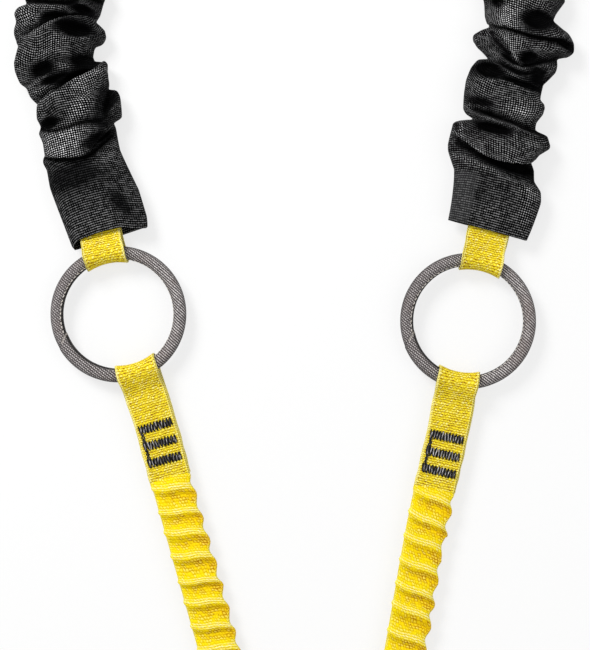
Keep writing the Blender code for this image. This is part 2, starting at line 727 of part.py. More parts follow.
def hook(prefix, size, web_width, side, frame, gate_frame, lever_frame):
    """A double-action hook on its webbing pin: body, gate, safety lever, their rivets and springs."""
    nose = size["nose_x"]
    bar = size["bar"]
    crown = size["crown"]
    spine = nose - 2 * crown - size["seat"]
    top = size["top"]
    floor = size["floor"]
    gate_x, gate_y = size["gate_x"], size["gate_y"]
    ear_in = web_width / 2 + EAR_SIDE_GAP
    ear_out = ear_in + EAR_WIDTH
    ear_drop = PIN_RADIUS + 0.003
    slot = PIN_RADIUS + LOOP_OUT + 0.0035
    lug = LUG_RADIUS
    corners = [
        (-ear_out, -ear_drop, 0.0035), (-ear_out, floor * 0.62, 0.010),
        (spine - bar, floor + bar + crown * 0.5, crown * 0.7), (spine - bar, top + bar, crown + bar),
        (nose + bar, top + bar, crown + bar), (nose + bar, size["nose_y"] + 0.002, 0.005),
        (nose + 0.001, size["nose_y"] - 0.001, 0.004), (nose, size["nose_y"] + 0.006, 0.0),
        (nose, top, crown), (spine, top, crown),
        (spine, floor + crown * 0.8, crown * 0.5), (spine + crown, floor, crown * 0.25),
        (gate_x - lug, floor, 0.004), (gate_x - lug, gate_y + lug, lug * 0.95),
        (gate_x + lug, gate_y + lug, lug * 0.95), (gate_x + lug, gate_y - lug, 0.006),
        (ear_out, floor * 0.55, 0.006), (ear_out, -ear_drop, 0.0035),
        (ear_in, -ear_drop, 0.0008), (ear_in, slot, 0.0025), (-ear_in, slot, 0.0025), (-ear_in, -ear_drop, 0.0008),
    ]
    corners = [(side * x, y, r) for x, y, r in corners]
    body = plate(f"{prefix}_hook_body", rounded(corners), HOOK_HALF_THICK, HOOK_EDGE, frame)

    # Holes for the pin and the two rivets
    across = Matrix.Rotation(math.pi / 2, 4, "Y")
    cut(body, rod(f"{prefix}_pin_hole", PIN_RADIUS + GAP, 3 * ear_out, across, frame, 16, CUTTERS))
    gate_spot = Matrix.Translation((side * gate_x, gate_y, 0.0))
    lever_spot = Matrix.Translation((side * (spine - bar / 2), size["lever_y"], 0.0))
    tall = 4 * HOOK_HALF_THICK
    hole = RIVET_RADIUS + GAP
    cut(body, rod(f"{prefix}_gate_rivet_hole", hole, tall, gate_spot, frame, 12, CUTTERS))
    cut(body, rod(f"{prefix}_lever_rivet_hole", hole, tall, lever_spot, frame, 12, CUTTERS))

    # Thin lugs that the gate's and the lever's cheeks straddle
    reach = LUG_REACH
    below = GATE_HALF + 0.0015
    low_x, high_x = span(side * (gate_x - reach), side * (gate_x + reach))
    pocket(body, f"{prefix}_gate_pocket", (low_x, gate_y - below), (high_x, gate_y + reach), frame)
    inner_x = spine - bar / 2 + GATE_HALF + 0.0013
    low_x, high_x = span(side * (spine - 2 * bar), side * inner_x)
    lever_y = size["lever_y"]
    pocket(body, f"{prefix}_lever_pocket", (low_x, lever_y - reach), (high_x, lever_y + below), frame)

    rod(f"{prefix}_webbing_pin", PIN_RADIUS, 2 * ear_out - 2 * GAP, across, frame)
    rivet(f"{prefix}_gate_rivet", gate_spot, frame)
    rivet(f"{prefix}_lever_rivet", lever_spot, frame)
    torsion_spring(f"{prefix}_gate_spring", gate_spot, frame)
    torsion_spring(f"{prefix}_lever_spring", lever_spot, frame)

    # Gate: a pressed channel, open to the inner side, with a solid tip behind the nose
    long = size["tip_y"] - gate_y
    outline = [(-GATE_HALF, -GATE_HALF, GATE_HALF * 0.98), (GATE_HALF, -GATE_HALF, GATE_HALF * 0.98),
               (GATE_HALF, long, 0.003), (-GATE_HALF, long, 0.004)]
    outline = [(side * x, y, r) for x, y, r in outline]
    cheek_out = CHEEK_INNER + CHEEK
    gate = plate(f"{prefix}_hook_gate", rounded(outline), cheek_out, 0.0, gate_frame)
    low_x, high_x = span(-side * (GATE_HALF + 0.003), side * (GATE_HALF - GATE_WEB))
    cut(gate, box(f"{prefix}_gate_channel", (low_x, -0.012, -CHEEK_INNER), (high_x, long - 0.007, CHEEK_INNER),
                  gate_frame, CUTTERS))
    cut(gate, box(f"{prefix}_gate_fork", (-0.012, -0.013, -CHEEK_INNER), (0.012, lug + 0.001, CHEEK_INNER),
                  gate_frame, CUTTERS))
    cut(gate, rod(f"{prefix}_gate_eye", hole, tall, Matrix.Identity(4), gate_frame, 12, CUTTERS))

    # Lever: a plate outside the spine, with cheeks over the spine's lug
    stand = bar / 2 + LEVER_STAND
    drop = size["lever"]
    outline = [(GATE_HALF, GATE_HALF, GATE_HALF * 0.95), (GATE_HALF, -GATE_HALF, GATE_HALF * 0.8),
               (-stand, -0.011, 0.002), (-stand, -drop, 0.003), (-stand - 0.009, -drop - 0.004, 0.003),
               (-stand - 0.0065, -drop * 0.5, 0.02), (-stand - 0.004, GATE_HALF, 0.005)]
    outline = [(side * x, y, r) for x, y, r in outline]
    lever = plate(f"{prefix}_hook_lever", rounded(outline), cheek_out, 0.0, lever_frame)
    low_x, high_x = span(-side * (stand + GAP), side * 0.02)
    cut(lever, box(f"{prefix}_lever_channel", (low_x, -0.02, -CHEEK_INNER), (high_x, 0.02, CHEEK_INNER),
                   lever_frame, CUTTERS))
    cut(lever, rod(f"{prefix}_lever_eye", hole, tall, Matrix.Identity(4), lever_frame, 12, CUTTERS))


def hook_frames(prefix, size, side, place, parent):
    """The empties on a hook's pin, gate rivet and lever rivet."""
    frame = axis(f"{prefix}_hook_axis", place, parent)
    nose, gate_x, gate_y = size["nose_x"], size["gate_x"], size["gate_y"]
    lean = math.atan((nose - GAP - GATE_HALF - gate_x) / (size["tip_y"] - gate_y))
    gate = axis(f"{prefix}_gate_axis", planar((side * gate_x, gate_y), side * lean, 0.0), frame)
    spine = nose - 2 * size["crown"] - size["seat"]
    lever_x = spine - size["bar"] / 2
    lever_place = planar((side * lever_x, size["lever_y"]), side * LEVER_TRAVEL, 0.0)
    lever = axis(f"{prefix}_lever_axis", lever_place, frame)
    return frame, gate, lever


# Yoke and absorber

def yoke_link(parent):
    """A five-sided bar of round steel: a roof for the two arms, a straight base for the absorber."""
    apex = (WEB_WIDTH / 2 + LINK_LOOP_SPACE) * math.sin(LINK_SLOPE)
    shoulder_y = apex - LINK_SHOULDER * math.tan(LINK_SLOPE)
    corners = [(0.0, apex, LINK_CORNER), (LINK_SHOULDER, shoulder_y, LINK_CORNER),
               (LINK_BASE, -LINK_HEIGHT, LINK_CORNER * 0.9), (-LINK_BASE, -LINK_HEIGHT, LINK_CORNER * 0.9),
               (-LINK_SHOULDER, shoulder_y, LINK_CORNER)]
    points = [Vector((p.x, p.y + LINK_HEIGHT, 0.0)) for p in rounded(corners)]
    tube("yoke_link", points, LINK_BAR, parent, cyclic=True)


def tear_path():
    """The folded webbing's middle line as y and z: eye, runs to and fro, way down, eye."""
    flat = (TEAR_THICK + GAP) / 2
    path = []
    for station in loop_stations(TEAR_TAIL, closing=3, turns=8):
        along, above = loop_point(station, 0.0, LINK_BAR + SEAT_GAP, TEAR_THICK)
        path.append((-LINK_HEIGHT - along, LINK_Z + above))
    path.pop()
    low = LINK_Z - flat
    for run in range(TEAR_RUNS):
        down = run % 2 == 0
        first, last = (PACK_TOP, PACK_BOTTOM) if down else (PACK_BOTTOM, PACK_TOP)
        height = low + TEAR_PITCH * run
        if run > 0:
            path.append((first, height))
        path.append((last, height))
        if run < TEAR_RUNS - 1:
            sign = -1 if down else 1
            for k in (1, 2, 3):
                angle = math.pi * k / 4
                path.append((last + sign * TEAR_PITCH / 2 * math.sin(angle),
                             height + TEAR_PITCH / 2 * (1 - math.cos(angle))))
    high = low + TEAR_PITCH * (TEAR_RUNS - 1)
    landing = HOOK_Z + flat
    begin, end = PACK_BOTTOM - 0.003, HARNESS_AXIS + 0.026
    steps = 8
    for k in range(1, steps + 1):
        share = k / steps
        path.append((begin + (end - begin) * share, high + (landing - high) * smooth_step(share)))
    for station in loop_stations(TEAR_TAIL, closing=3, turns=8)[1:]:
        along, above = loop_point(station, 0.0, PIN_RADIUS + SEAT_GAP, TEAR_THICK)
        path.append((HARNESS_AXIS + along, HOOK_Z + above))
    return path


def tear_webbing(parent):
    """One ribbon, folded to and fro between its two eyes."""
    path = tear_path()

    def place(row, share):
        y, z = path[row]
        return Vector((share * TEAR_WIDTH, y, z))

    solidify(sheet("tear_webbing", len(path) - 1, 1, place, parent), TEAR_THICK)


def eye_tack(name, y, height, parent):
    """A block of thread over a sewn eye."""
    half_width, half_length = TEAR_WIDTH * 0.38, 0.005
    low = height + TEAR_THICK + GAP * 1.5
    box(name, (-half_width, y - half_length, low), (half_width, y + half_length, low + TACK_THICK), parent)


def pouch_sections():
    """Stations of the pouch: y, lowest and highest middle of its wall."""
    wall = POUCH_WALL / 2
    low = SHELF + wall
    flat = (TEAR_THICK + GAP) / 2
    top = LINK_Z - flat + TEAR_PITCH * (TEAR_RUNS - 1) + TEAR_THICK / 2 + 3 * GAP + wall
    harness = HOOK_Z + flat
    return [
        (PACK_TOP + 0.0200, low + 0.0017, LINK_Z + 0.0031), (PACK_TOP + 0.0130, low + 0.0004, top * 0.77),
        (PACK_TOP + 0.0060, low, top), (PACK_TOP * 0.75 + PACK_BOTTOM * 0.25, low, top),
        ((PACK_TOP + PACK_BOTTOM) / 2, low, top), (PACK_TOP * 0.25 + PACK_BOTTOM * 0.75, low, top),
        (PACK_BOTTOM - 0.0070, low, top), (PACK_BOTTOM - 0.0180, low + 0.0002, top * 0.87),
        (HARNESS_AXIS + 0.0340, low + 0.0012, harness + 0.0075),
        (HARNESS_AXIS + 0.0270, low + 0.0020, harness + 0.0042),
    ]


def pouch_shell(name, upper, parent):
    """Half of the pouch, from the seam over its top or under its bottom."""
    stations = pouch_sections()
    half_width = TEAR_WIDTH / 2 + POUCH_SIDE
    columns = 8

    def place(row, share):
        y, low, high = stations[row]
        seam = low + SEAM_SHARE * (high - low)
        angle = math.pi * (share + 0.5)
        squareness = 0.3
        c, s = math.cos(angle), math.sin(angle)
        narrow = half_width - (0.001 if row in (0, len(stations) - 1) else 0.0)
        x = -math.copysign(abs(c) ** squareness, c) * narrow
        lift = abs(s) ** squareness
        if upper:
            return Vector((x, y, seam + GAP / 2 + (high - seam - GAP / 2) * lift))
        return Vector((x, y, seam - GAP / 2 - (seam - GAP / 2 - low) * lift))

    return solidify(sheet(name, len(stations) - 1, columns, place, parent), POUCH_WALL)


def seam_height():
    """Height of the seam where the pouch is full."""
    _, low, high = pouch_sections()[3]
    return low + SEAM_SHARE * (high - low)


def zip_parts(root, slider_axis):
    """The zip's chain along the pouch's side seam and its slider with a pull tab."""
    seam = seam_height()
    side = TEAR_WIDTH / 2 + POUCH_SIDE + POUCH_WALL / 2 + GAP
    first, last = PACK_TOP - 0.004, PACK_BOTTOM + 0.004
    tape = ZIP_WIDTH / 2
    teeth = TEETH_WIDTH / 2
    profile = [(0.0, -tape), (ZIP_THICK, -tape), (ZIP_THICK, -teeth), (TEETH_THICK, -teeth),
               (TEETH_THICK, teeth), (ZIP_THICK, teeth), (ZIP_THICK, tape), (0.0, tape)]
    chain = plate("zip_chain", profile, (first - last) / 2, 0.0, root)
    stand = Matrix.Translation((side, (first + last) / 2, seam)) @ Matrix.Rotation(math.pi / 2, 4, "X")
    chain.data.transform(stand)

    face = side + TEETH_THICK + GAP
    outline = rounded([(-0.0025, -SLIDER_LENGTH / 2, 0.001), (0.0025, -SLIDER_LENGTH / 2, 0.001),
                       (0.0032, SLIDER_LENGTH / 2, 0.001), (-0.0032, SLIDER_LENGTH / 2, 0.001)])
    slider = plate("zip_slider", outline, SLIDER_HALF_THICK, 0.0003, slider_axis)
    outward = Matrix.Rotation(math.pi / 2, 4, "Y")
    slider.data.transform(Matrix.Translation((face + SLIDER_HALF_THICK, 0.0, 0.0)) @ outward)
    tab_outline = rounded([(-0.0028, -TAB_LENGTH, 0.0015), (0.0028, -TAB_LENGTH, 0.0015),
                           (0.0020, 0.002, 0.001), (-0.0020, 0.002, 0.001)])
    tab = plate("zip_pull", tab_outline, 0.0006, 0.0002, slider_axis)
    tab.data.transform(Matrix.Translation((face + 2 * SLIDER_HALF_THICK + 0.0003, 0.0, 0.0)) @ outward)
    join = slider.modifiers.new("pull", "BOOLEAN")
    join.operation = "UNION"
    join.object = tab
    PARTS.objects.unlink(tab)
    CUTTERS.objects.link(tab)
    tab.hide_render = True
    tab.display_type = "WIRE"


# Assembly

def build():
    """Lay out the axes from the absorber outwards, then the pieces on each."""
    clear_scene()
    whole = axis("lanyard_origin", Matrix.Identity(4), None)
    root = axis("absorber_axis", planar(YOKE, YOKE_TURN, 0.0), whole)

    link = axis("yoke_link_axis", Matrix.Translation((0.0, -LINK_HEIGHT, LINK_Z)), root)
    yoke_link(link)
    tear_webbing(root)
    eye_tack("absorber_arm_tack", -LINK_HEIGHT - 0.024, LINK_Z, root)
    eye_tack("absorber_harness_tack", HARNESS_AXIS + 0.0205, HOOK_Z, root)
    pouch_shell("pouch_front_shell", True, root)
    pouch_shell("pouch_back_shell", False, root)
    slider_axis = axis("zip_slider_axis", Matrix.Translation((0.0, PACK_TOP - 0.009, seam_height())), root)
    zip_parts(root, slider_axis)

    harness_place = Matrix.Translation((0.0, HARNESS_AXIS, HOOK_Z)) @ Matrix.Rotation(math.pi, 4, "Z")
    frames = hook_frames("harness", HARNESS_HOOK, 1, harness_place, root)
    bpy.context.view_layer.update()
    hook("harness", HARNESS_HOOK, TEAR_WIDTH, 1, *frames)

    for prefix, arm in ARMS.items():
        side = arm["side"]
        bpy.context.view_layer.update()
        ring_centre = Vector((*arm["ring"], 0.0))
        ring_z = loop_hollow(WEB_WIDTH / 2, RING_BAR, RING_RADIUS) + WEB_THICK + SHELF
        down = Vector((math.sin(arm["lower"]), math.cos(arm["lower"]), 0.0))
        up = Vector((math.sin(arm["upper"]), math.cos(arm["upper"]), 0.0))
        lower_hinge = ring_centre + down * RING_RADIUS
        upper_hinge = ring_centre + up * RING_RADIUS

        # Where this arm's loop sits on the yoke, and the arm's direction there
        along_roof = side * (WEB_WIDTH / 2 + LINK_LOOP_SPACE)
        seat = Vector((along_roof * math.cos(LINK_SLOPE), 0.0, 0.0))
        seat_world = root.matrix_world @ seat
        heading = side * LINK_SLOPE + YOKE_TURN
        lead = Vector((math.sin(heading), math.cos(heading))) * 0.03
        start_lead = Vector((down.x, down.y)) * 0.025
        lower_points = [lower_hinge.xy, lower_hinge.xy + start_lead] + list(arm["middle"])
        lower_points += [seat_world.xy + lead, seat_world.xy]
        lower = Strap(lower_points, ring_z, LINK_Z)

        base = axis(f"{prefix}_arm_axis", Matrix.Identity(4), link)
        base.matrix_local = link.matrix_world.inverted() @ planar(seat_world, heading, LINK_Z)
        bpy.context.view_layer.update()
        end = axis(f"{prefix}_arm_end_axis", Matrix.Identity(4), base)
        end.matrix_local = base.matrix_world.inverted() @ planar(lower_hinge, arm["lower"], ring_z)
        bpy.context.view_layer.update()
        lower_arm(prefix, base, end, lower)

        ring_frame = axis(f"{prefix}_ring_axis", Matrix.Identity(4), end)
        bpy.context.view_layer.update()
        centre = ring_frame.matrix_world.inverted() @ Vector((ring_centre.x, ring_centre.y, ring_z))
        ring(prefix, ring_frame, centre)

        top = axis(f"{prefix}_upper_axis", Matrix.Identity(4), ring_frame)
        top.matrix_local = ring_frame.matrix_world.inverted() @ planar(upper_hinge, arm["upper"], ring_z)
        bpy.context.view_layer.update()
        hook_spot = Vector((*arm["hook"], 0.0))
        inner_points = [upper_hinge.xy, upper_hinge.xy + Vector((up.x, up.y)) * 0.020]
        inner_points += arm["sleeve"][SHARED_ROUTE - 1:] + [(hook_spot.x, hook_spot.y - 0.030), hook_spot.xy]
        upper = Strap(inner_points, ring_z, HOOK_Z)
        sleeve_end = (hook_spot.x, hook_spot.y - SLEEVE_TOP_GAP)
        sleeve_strap = Strap(arm["sleeve"] + [sleeve_end], ring_z, HOOK_Z)
        upper_end = axis(f"{prefix}_upper_end_axis", Matrix.Identity(4), top)
        upper_end.matrix_local = top.matrix_world.inverted() @ planar(hook_spot, 0.0, HOOK_Z)
        bpy.context.view_layer.update()
        upper_arm(prefix, top, upper_end, upper, sleeve_strap, side)

        # The gates look inwards, the spines outwards
        frames = hook_frames(prefix, LARGE_HOOK, -side, Matrix.Identity(4), upper_end)
        bpy.context.view_layer.update()
        hook(prefix, LARGE_HOOK, WEB_WIDTH, -side, *frames)

    stand_on_origin(whole)


def stand_on_origin(whole):
    """Move the lanyard so that its footprint is centred on the origin and its lowest point is at zero."""
    bpy.context.view_layer.update()
    graph = bpy.context.evaluated_depsgraph_get()
    low = Vector((math.inf,) * 3)
    high = Vector((-math.inf,) * 3)
    for thing in PARTS.objects:
        seen = thing.evaluated_get(graph)
        for vert in seen.to_mesh().vertices:
            spot = thing.matrix_world @ vert.co
            low = Vector(map(min, low, spot))
            high = Vector(map(max, high, spot))
        seen.to_mesh_clear()
    whole.location = (-(low.x + high.x) / 2, -(low.y + high.y) / 2, -low.z)
    bpy.context.view_layer.update()


build()
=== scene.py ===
"""Looks of the energy absorbing Y-lanyard: woven cloth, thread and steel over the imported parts."""

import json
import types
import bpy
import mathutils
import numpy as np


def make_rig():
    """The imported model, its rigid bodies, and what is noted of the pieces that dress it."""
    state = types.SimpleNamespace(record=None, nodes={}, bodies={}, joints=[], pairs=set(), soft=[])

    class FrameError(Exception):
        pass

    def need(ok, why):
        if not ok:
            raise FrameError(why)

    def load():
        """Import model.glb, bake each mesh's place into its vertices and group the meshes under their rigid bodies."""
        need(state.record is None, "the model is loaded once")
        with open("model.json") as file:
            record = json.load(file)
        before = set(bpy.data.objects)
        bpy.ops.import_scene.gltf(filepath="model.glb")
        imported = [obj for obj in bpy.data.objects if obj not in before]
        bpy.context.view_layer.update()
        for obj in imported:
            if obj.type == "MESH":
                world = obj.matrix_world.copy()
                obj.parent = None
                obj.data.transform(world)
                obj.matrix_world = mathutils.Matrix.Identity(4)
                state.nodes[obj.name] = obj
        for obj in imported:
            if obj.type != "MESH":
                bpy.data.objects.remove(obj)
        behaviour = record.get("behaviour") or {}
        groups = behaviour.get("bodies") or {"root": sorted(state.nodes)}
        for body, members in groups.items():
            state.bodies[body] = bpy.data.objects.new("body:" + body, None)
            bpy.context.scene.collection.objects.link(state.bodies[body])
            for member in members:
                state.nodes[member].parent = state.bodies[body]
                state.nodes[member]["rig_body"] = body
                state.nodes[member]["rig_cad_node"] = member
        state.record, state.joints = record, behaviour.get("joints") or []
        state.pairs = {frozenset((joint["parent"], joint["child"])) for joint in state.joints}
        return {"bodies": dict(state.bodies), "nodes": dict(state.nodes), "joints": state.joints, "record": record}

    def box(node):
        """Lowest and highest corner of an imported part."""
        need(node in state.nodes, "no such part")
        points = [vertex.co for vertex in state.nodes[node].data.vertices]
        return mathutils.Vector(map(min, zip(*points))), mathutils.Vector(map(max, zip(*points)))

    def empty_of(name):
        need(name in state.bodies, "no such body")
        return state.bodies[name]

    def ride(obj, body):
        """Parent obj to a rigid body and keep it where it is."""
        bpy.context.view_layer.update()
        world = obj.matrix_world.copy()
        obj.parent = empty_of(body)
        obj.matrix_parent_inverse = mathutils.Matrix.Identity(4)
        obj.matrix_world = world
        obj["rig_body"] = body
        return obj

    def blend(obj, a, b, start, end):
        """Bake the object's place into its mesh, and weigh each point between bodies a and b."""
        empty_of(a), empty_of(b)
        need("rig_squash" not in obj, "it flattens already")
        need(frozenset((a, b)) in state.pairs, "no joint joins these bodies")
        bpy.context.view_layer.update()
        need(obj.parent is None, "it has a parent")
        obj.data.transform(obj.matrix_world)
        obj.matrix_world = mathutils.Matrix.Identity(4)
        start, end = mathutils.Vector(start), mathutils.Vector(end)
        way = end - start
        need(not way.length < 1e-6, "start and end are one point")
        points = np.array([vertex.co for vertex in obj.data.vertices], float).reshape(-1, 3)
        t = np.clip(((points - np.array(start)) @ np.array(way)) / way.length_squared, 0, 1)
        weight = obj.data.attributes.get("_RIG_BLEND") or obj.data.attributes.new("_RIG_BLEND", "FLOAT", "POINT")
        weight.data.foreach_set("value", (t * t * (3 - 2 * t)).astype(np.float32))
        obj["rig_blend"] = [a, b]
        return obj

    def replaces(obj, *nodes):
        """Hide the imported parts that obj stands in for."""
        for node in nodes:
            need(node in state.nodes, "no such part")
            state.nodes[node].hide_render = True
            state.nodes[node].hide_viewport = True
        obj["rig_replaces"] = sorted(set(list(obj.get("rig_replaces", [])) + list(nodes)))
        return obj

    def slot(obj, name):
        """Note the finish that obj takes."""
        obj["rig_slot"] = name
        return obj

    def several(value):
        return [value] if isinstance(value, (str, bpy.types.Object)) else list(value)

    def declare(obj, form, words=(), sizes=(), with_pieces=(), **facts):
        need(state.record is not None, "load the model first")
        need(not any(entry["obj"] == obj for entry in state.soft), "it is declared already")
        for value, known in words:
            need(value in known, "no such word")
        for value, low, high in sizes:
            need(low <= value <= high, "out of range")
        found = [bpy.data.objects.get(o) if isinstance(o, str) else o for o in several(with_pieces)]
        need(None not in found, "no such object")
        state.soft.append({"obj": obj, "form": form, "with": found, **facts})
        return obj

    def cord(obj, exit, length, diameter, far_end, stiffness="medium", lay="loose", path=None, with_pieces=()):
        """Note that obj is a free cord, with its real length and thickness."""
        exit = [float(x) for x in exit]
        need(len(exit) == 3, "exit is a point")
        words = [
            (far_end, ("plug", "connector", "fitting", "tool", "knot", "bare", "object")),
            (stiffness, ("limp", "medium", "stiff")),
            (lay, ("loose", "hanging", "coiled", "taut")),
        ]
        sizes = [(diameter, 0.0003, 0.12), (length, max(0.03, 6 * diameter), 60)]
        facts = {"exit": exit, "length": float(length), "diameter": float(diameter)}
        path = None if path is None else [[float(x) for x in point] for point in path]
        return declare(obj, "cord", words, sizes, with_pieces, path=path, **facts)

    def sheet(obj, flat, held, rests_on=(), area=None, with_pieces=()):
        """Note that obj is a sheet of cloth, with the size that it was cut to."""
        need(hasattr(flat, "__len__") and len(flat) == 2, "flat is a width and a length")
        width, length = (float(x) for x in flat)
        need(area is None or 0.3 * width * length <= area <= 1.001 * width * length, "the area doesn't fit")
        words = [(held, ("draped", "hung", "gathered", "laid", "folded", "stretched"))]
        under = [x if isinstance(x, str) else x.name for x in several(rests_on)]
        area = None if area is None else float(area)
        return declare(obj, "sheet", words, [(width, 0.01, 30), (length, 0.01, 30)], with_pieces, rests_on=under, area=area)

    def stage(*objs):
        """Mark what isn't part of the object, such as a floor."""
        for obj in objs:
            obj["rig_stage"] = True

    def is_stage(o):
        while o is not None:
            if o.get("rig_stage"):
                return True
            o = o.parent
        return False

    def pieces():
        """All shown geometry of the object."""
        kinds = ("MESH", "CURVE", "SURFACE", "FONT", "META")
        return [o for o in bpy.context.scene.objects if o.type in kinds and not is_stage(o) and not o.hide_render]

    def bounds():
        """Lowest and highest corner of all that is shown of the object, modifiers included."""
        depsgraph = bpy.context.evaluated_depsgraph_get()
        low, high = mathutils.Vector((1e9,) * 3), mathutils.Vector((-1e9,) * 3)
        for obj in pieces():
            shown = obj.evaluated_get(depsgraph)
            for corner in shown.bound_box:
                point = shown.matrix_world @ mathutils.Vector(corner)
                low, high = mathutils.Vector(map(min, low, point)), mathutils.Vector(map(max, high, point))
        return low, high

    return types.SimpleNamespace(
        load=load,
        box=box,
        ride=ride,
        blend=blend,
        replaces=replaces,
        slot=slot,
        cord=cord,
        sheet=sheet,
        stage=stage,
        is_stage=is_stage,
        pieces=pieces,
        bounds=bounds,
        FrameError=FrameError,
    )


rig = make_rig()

bl_info = {
    "name": "Energy absorbing Y-lanyard",
    "version": (1, 0, 0),
    "blender": (4, 5, 0),
    "location": "View3D > Sidebar > Lanyard",
    "description": "Dresses the packed lanyard in webbing, sleeves, covers, stitching and steel",
    "category": "Object",
}

import json
import math

import bmesh
import bpy
import numpy as np
from mathutils import Matrix, Vector

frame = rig.load()
CAD_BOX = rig.bounds()

SIDES = ("left", "right")
PHOTO_MIDDLE = np.array((-0.0010, 0.059063))    # where the middle of the photograph lies on the floor
MM = 0.001
WHITE = (1.0, 1.0, 1.0)

# Shared with the solids
GAP = 0.0003
SEAT_GAP = 0.0004
WEB_HALF = 0.0125
WEB_THICK = 0.0016
RING_RADIUS = 0.037
RING_BAR = 0.0040
PIN_RADIUS = 0.004
LINK_BAR = 0.004
LOOP_TAIL = 0.066
LOOP_THROAT = 0.014
TACK_DISTANCE = 0.0445
TACK_PITCH = 0.0105
GATHER_PITCH = 0.0145
GATHER_ROWS = 9
GATHER_PHASE = {"left": 0.18, "right": 0.30}
TEAR_HALF = 0.015
TEAR_THICK = 0.0020
TEAR_RUNS = 7
TEAR_PITCH = 0.0029
TEAR_TAIL = 0.034
PACK_TOP = -0.095
PACK_BOTTOM = -0.212
HARNESS_AXIS = -0.275
POUCH_SIDE = 0.0038
SEAM_HALF_GAP = 0.00004
POUCH_WALL = 0.0012
POUCH_OUT = TEAR_HALF + POUCH_SIDE + POUCH_WALL / 2 + GAP    # where the tapes on the pouch's sides begin
POUCH_LOW = HARNESS_AXIS + 0.0270
POUCH_HIGH = PACK_TOP + 0.0200
POUCH_FULL = -0.15                                           # a place where the pouch is full
HEM = 0.0075
SHELF = 0.0001
YOKE_TURN = math.radians(-2.85)
LINK_SLOPE = math.radians(13)
LINK_HEIGHT = 0.038
LINK_Z = LINK_BAR + SEAT_GAP + TEAR_THICK + SHELF
LINK_SHOULDER = 0.0365
LINK_BASE = 0.027
LINK_CORNER = 0.008
HOOK_HALF_THICK = 0.007
HOOK_Z = HOOK_HALF_THICK + SHELF
HOOK_ROUND = 0.0024
EAR_SIDE_GAP = 0.0008
EAR_WIDTH = 0.006
RIVET_RADIUS = 0.002
RIVET_HEAD = 0.0032
RIVET_HEAD_THICK = 0.0006
LUG_HALF = 0.0026
LUG_RADIUS = 0.008
LUG_REACH = 0.013
CHEEK = 0.0012
CHEEK_INNER = 0.0049
GATE_HALF = 0.0055
SPRING_WIRE = 0.0006
LEVER_TRAVEL = math.radians(8)
LARGE_HOOK = {
    "crown": 0.038, "seat": 0.010, "bar": 0.013, "nose_x": 0.036, "floor": 0.030, "top": 0.208,
    "nose_y": 0.133, "gate_x": 0.026, "gate_y": 0.046, "tip_y": 0.150, "lever_y": 0.134, "lever": 0.066,
}
HARNESS_HOOK = {
    "crown": 0.014, "seat": 0.006, "bar": 0.011, "nose_x": 0.018, "floor": 0.022, "top": 0.096,
    "nose_y": 0.067, "gate_x": 0.0115, "gate_y": 0.036, "tip_y": 0.079, "lever_y": 0.070, "lever": 0.034,
}

# Routes of the arms, in metres right of and above the photograph's middle; headings clockwise from up
ARMS = {
    "left": {
        "side": -1, "lower": math.radians(161.4), "upper": math.radians(-13.0),
        "middle": [(-0.0736, -0.0983), (-0.0467, -0.1935)],
        "sleeve": [(-0.1111, 0.0521), (-0.1150, 0.0640), (-0.1264, 0.0999), (-0.1330, 0.1282),
                   (-0.1403, 0.1475), (-0.1415, 0.1764), (-0.1397, 0.1957), (-0.1340, 0.2350),
                   (-0.1280, 0.2900), (-0.1245, 0.3450)],
        "hook": (-0.1240, 0.4180),
    },
    "right": {
        "side": 1, "lower": math.radians(190.5), "upper": math.radians(12.5),
        "middle": [(0.0805, -0.1137), (0.0668, -0.1904)],
        "sleeve": [(0.1160, 0.0572), (0.1180, 0.0650), (0.1216, 0.0843), (0.1234, 0.1114),
                   (0.1258, 0.1355), (0.1342, 0.1656), (0.1367, 0.1957), (0.1350, 0.2350),
                   (0.1300, 0.2900), (0.1265, 0.3450)],
        "hook": (0.1260, 0.4180),
    },
}

